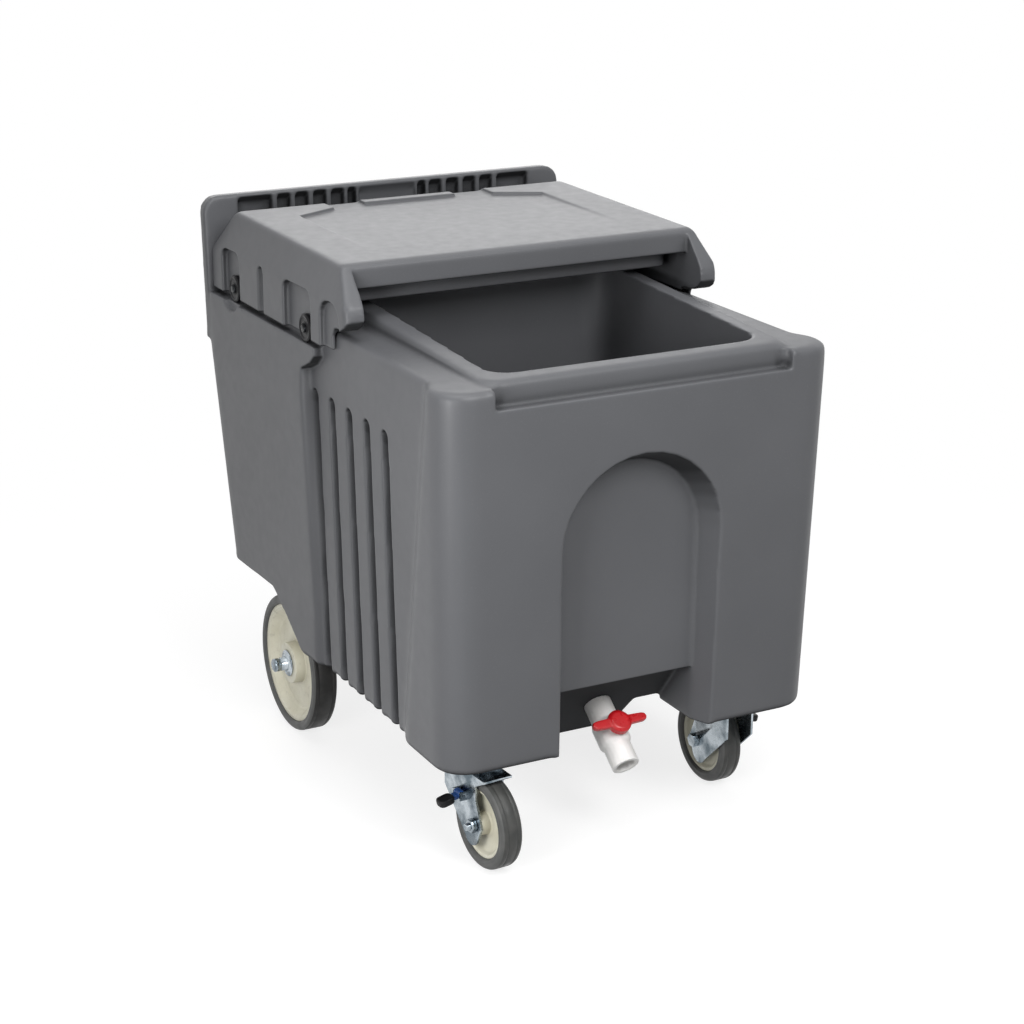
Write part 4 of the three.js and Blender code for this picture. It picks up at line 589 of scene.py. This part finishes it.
# The rear hub: radii of bore, collar, face, boss and rim, and distances from the wheel's middle to its inner
# end, its outer end, the web's back, the web's dished front and the rim's edges
REAR_HUB = {
    "bore": 10.6, "collar": 20, "face": 21.5, "boss": 31, "rim": 80.7,
    "inner": 21, "outer": 18, "web": 7, "dish": 1.4, "lip": 15.5,
}
# Radii of the small rounds on the corners of the outlines
ROUNDS = {"rear_hub": 1.4, "caster_hub": 1.2, "push_nut": 0.5, "roller": 0.7}
# Outlines as distance along the axle and radius: the push nut from its inner face, one half of a caster's hub
# inside its rim, the end of the axle as distance from its very end, and a lid roller
PUSH_NUT_FROM = 18.35
PUSH_NUT = (
    (0, 10.4), (0, 20), (1.3, 20), (1.3, 16.6), (1.9, 15.4), (3.9, 13.6), (4, 12.2), (3.1, 11.4), (3.1, 10.4),
)
CASTER_HUB = ((4.5, 19), (5.6, 16.2), (18, 15), (18.4, 9.6), (17.2, 8.6), (17.2, 5.6))
AXLE_END = (
    (12, 10), (11.2, 9.1), (8.8, 9.1), (8, 10), (1.6, 10), (0, 8.4), (0, 3), (2.2, 1.2), (2.2, 0.02),
)
LID_ROLLER = (
    (-4, 4.5), (-4, 17.5), (-2.6, 19.6), (2.4, 19.6), (4, 17.4), (3.4, 15.2), (2.6, 14.2), (2.6, 9.4),
    (3.4, 8.8), (3.4, 4.5),
)


def tyre_outline(wheel):
    """Crowned tread with two fine grooves, rounded shoulders, and a bead line on each side."""
    half, radius, shoulder = wheel["width"] / 2, wheel["radius"], wheel["shoulder"]
    seat = radius - wheel["depth"]
    side = [(half * wide - off, seat + wheel["depth"] * high) for wide, high, off in TYRE_SIDE]
    for k in range(SHOULDER_STEPS + 1):
        a = math.radians(90 * k / SHOULDER_STEPS)
        side.append((half - shoulder + shoulder * math.cos(a), radius - shoulder + shoulder * math.sin(a)))
    groove = half - shoulder - GROOVE["inset"]
    side += [(groove + GROOVE["half"], radius), (groove, radius - GROOVE["depth"])]
    side += [(groove - GROOVE["half"], radius)]
    return with_mirror(side)


def add_tyre(name, node, joint, wheel, tread):
    mesh = turned(name, tyre_outline(wheel), TYRE_SIDES, wheel["tread_from"])
    place(name, mesh, on_axle(joint), node, tread)


def hub_radius(wheel):
    """Where the hub ends under the tyre."""
    return wheel["radius"] - wheel["depth"] - HUB_GAP


def rear_hub_outline():
    """From the bore at the inner end round the web, rim and lip to the boss at the outer end."""
    bore, collar, face, boss, rim = (REAR_HUB[key] for key in ("bore", "collar", "face", "boss", "rim"))
    inner, outer, web, dish, lip = (REAR_HUB[key] for key in ("inner", "outer", "web", "dish", "lip"))
    return softened([
        (-inner, bore), (-inner, collar), (-web, collar + 2), (-web, rim - 8), (-lip, rim),
        (-lip, hub_radius(REAR)), (lip, hub_radius(REAR)), (lip + 0.2, rim + 3.4), (lip - 1.2, rim + 2.4),
        (lip - 1.6, rim + 1), (dish + 1.8, rim - 6.5), (dish + 1, rim - 9.5), (dish, rim - 10.5),
        (dish, boss + 2), (dish + 0.8, boss + 1), (outer, boss), (outer, face), (outer - 0.8, face - 0.7),
        (outer - 0.8, bore),
    ], ROUNDS["rear_hub"])


def caster_hub_outline():
    """Rim, dished web and boss, the same to both sides."""
    seat = hub_radius(CASTER)
    rim = [(12, seat), (12.4, seat - 3.4), (11.2, seat - 5), (6.4, seat - 8), (4.9, seat - 11)]
    return softened(with_mirror(rim + list(CASTER_HUB)), ROUNDS["caster_hub"])


def add_rear_wheels():
    nut = softened([(PUSH_NUT_FROM + x, r) for x, r in PUSH_NUT], ROUNDS["push_nut"])
    for hand in HANDS:
        joint = f"rear_wheel_{hand}_turn"
        outward = on_axle(joint, hand == "left")
        add_tyre(f"rear_tyre_{hand}", f"rear_wheel_tyre_{hand}", joint, REAR, REAR_TREAD)
        place(f"rear_hub_{hand}", turned("rear_hub", rear_hub_outline()), outward, f"rear_wheel_hub_{hand}")
        place(f"rear_nut_{hand}", turned("rear_nut", nut), outward, f"rear_wheel_push_nut_{hand}")


def add_axle():
    low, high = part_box("rear_axle")
    half = high[0] / MM
    outline = with_mirror([(half - x, r) for x, r in AXLE_END])
    middle = Matrix.Translation((Vector(low) + Vector(high)) / 2)
    place("axle", turned("axle", outline, SMALL_ROUND_SIDES), middle, "rear_axle")


def add_caster_wheels():
    for hand in HANDS:
        joint = f"caster_{hand}_wheel_turn"
        add_tyre(f"caster_tyre_{hand}", f"caster_{hand}_tyre", joint, CASTER, CASTER_TREAD)
        hub = turned("caster_hub", caster_hub_outline())
        place(f"caster_hub_{hand}", hub, on_axle(joint), f"caster_{hand}_wheel_hub")


# The fork's bridge, in millimetres: its top, how far behind the pivot its thin end begins, how thick that end
# is, and the depths under the top between which its underside lies
BRIDGE = {"top": 134.4, "thin_from": 67, "thin": 3, "least": 3.5, "most": 8}


def add_fork(hand):
    """The fork, with a thin edge where its bridge ends over the wheel."""
    mesh = bevelled(f"caster_{hand}_fork", "fork").data
    pivot = Vector(JOINTS[f"caster_{hand}_swivel"]["pos_m"])
    trail = Vector(JOINTS[f"caster_{hand}_wheel_turn"]["pos_m"]) - pivot
    trail.z = 0
    trail.normalize()
    for vertex in mesh.vertices:
        far = (vertex.co - pivot).dot(trail) / MM
        drop = BRIDGE["top"] - vertex.co.z / MM
        if far > BRIDGE["thin_from"] and BRIDGE["least"] < drop < BRIDGE["most"]:
            vertex.co.z += (drop - BRIDGE["thin"]) * MM
    mesh.update()


def add_rollers():
    """The lid's rollers and the blackened bolts they turn on."""
    outline = softened(LID_ROLLER, ROUNDS["roller"])
    for hand in HANDS:
        for end in ("front", "rear"):
            name = f"roller_{end}_{hand}"
            matrix = on_axle(f"lid_roller_{end}_{hand}_turn", hand == "left")
            place(name, turned(name, outline, SMALL_ROUND_SIDES), matrix, f"lid_roller_{end}_{hand}")
            bolt = bevelled(f"lid_roller_bolt_{end}_{hand}", "roller_bolt")
            bolt.data.materials[0] = BLACKED


# Stage: the floor's size in metres, its grey, the light added where it is seen, the distances in metres
# between which it runs out to white, and the room's light
FLOOR_SIZE = 40
FLOOR_TONE = 0.3
FLOOR_LIFT = 0.78
FLOOR_FADE = (0.7, 1.7)
ROOM_LIGHT = 0.27
WHITE = (1, 1, 1, 1)
# Lamps: place and aim in the drawing's millimetres, size in metres and power in watts
LAMPS = {
    "side_light": ((-1150, -800, 620), (-280, -330, 450), 0.6, 9.5),
    "front_light": ((150, -1900, 1900), (0, -300, 450), 1.0, 31),
    "top_light": ((-200, -300, 2700), (0, 0, 500), 1.6, 28),
    "back_light": ((900, 2600, 1500), (0, 0, 600), 2.2, 22),
}


def add_floor():
    """A pale floor that keeps the object's soft shadow and runs out to plain white."""
    bpy.ops.mesh.primitive_plane_add(size=FLOOR_SIZE, location=(0, 0, 0))
    floor = bpy.context.object
    floor.name = "floor"
    look = Look("floor", roughness=0.9, specular=0.1)
    look.colour((FLOOR_TONE, FLOOR_TONE, FLOOR_TONE, 1))
    seen = look.seen_directly()
    lift = look.node("ShaderNodeEmission")
    look.feed(look.maths("MULTIPLY", seen, FLOOR_LIFT), lift.inputs["Strength"])
    lifted = look.node("ShaderNodeAddShader")
    look.feed(look.shader.outputs[0], lifted.inputs[0])
    look.feed(lift.outputs[0], lifted.inputs[1])
    distance = look.node("ShaderNodeVectorMath", operation="LENGTH")
    look.feed(look.coords["Object"], distance.inputs[0])
    far = look.spread(distance.outputs["Value"], *FLOOR_FADE, interpolation_type="SMOOTHSTEP")
    white = look.node("ShaderNodeEmission")
    look.finish("Material Output", look.maths("MULTIPLY", far, seen), lifted.outputs[0], white.outputs[0])
    floor.data.materials.append(look.material)


def add_world():
    """Even light from all round, and plain white where the room itself is seen."""
    world = bpy.data.worlds.new("studio")
    bpy.context.scene.world = world
    graph = Graph(world)
    room = graph.tree.nodes["Background"]
    white = graph.node("ShaderNodeBackground")
    for background, strength in ((room, ROOM_LIGHT), (white, 1.0)):
        background.inputs["Color"].default_value = WHITE
        background.inputs["Strength"].default_value = strength
    graph.finish("World Output", graph.seen_directly(), room.outputs[0], white.outputs[0])


def area_light(name, place_mm, aim_mm, size, power):
    data = bpy.data.lights.new(name, "AREA")
    data.size = size
    data.energy = power
    lamp = link(bpy.data.objects.new(name, data))
    lamp.location = at(*place_mm)
    lamp.rotation_euler = (at(*place_mm) - at(*aim_mm)).to_track_quat("Z", "Y").to_euler()
    lamp.visible_camera = False


add_camera()
add_floor()
add_world()
for lamp_name, lamp_values in LAMPS.items():
    area_light(lamp_name, *lamp_values)

moulded("bin_body", "bin_body", deepen_flutes)
for node_name in ("sliding_lid", "drain_valve_body", "drain_valve_handle"):
    moulded(node_name, node_name)
for hand_name in HANDS:
    moulded(f"caster_{hand_name}_brake_pedal", "brake_pedal")
    for fitting in ("brake_barrel", "axle_bolt", "axle_nut", "top_plate"):
        bevelled(f"caster_{hand_name}_{fitting}", fitting)
moulded("drain_shelf", "drain_shelf")
add_rear_wheels()
add_axle()
add_caster_wheels()
for hand_name in HANDS:
    add_fork(hand_name)
add_rollers()
for node_name in NODES:
    if node_name not in REPLACED:
        keep_node(node_name)

bpy.context.scene.view_settings.view_transform = "Standard"
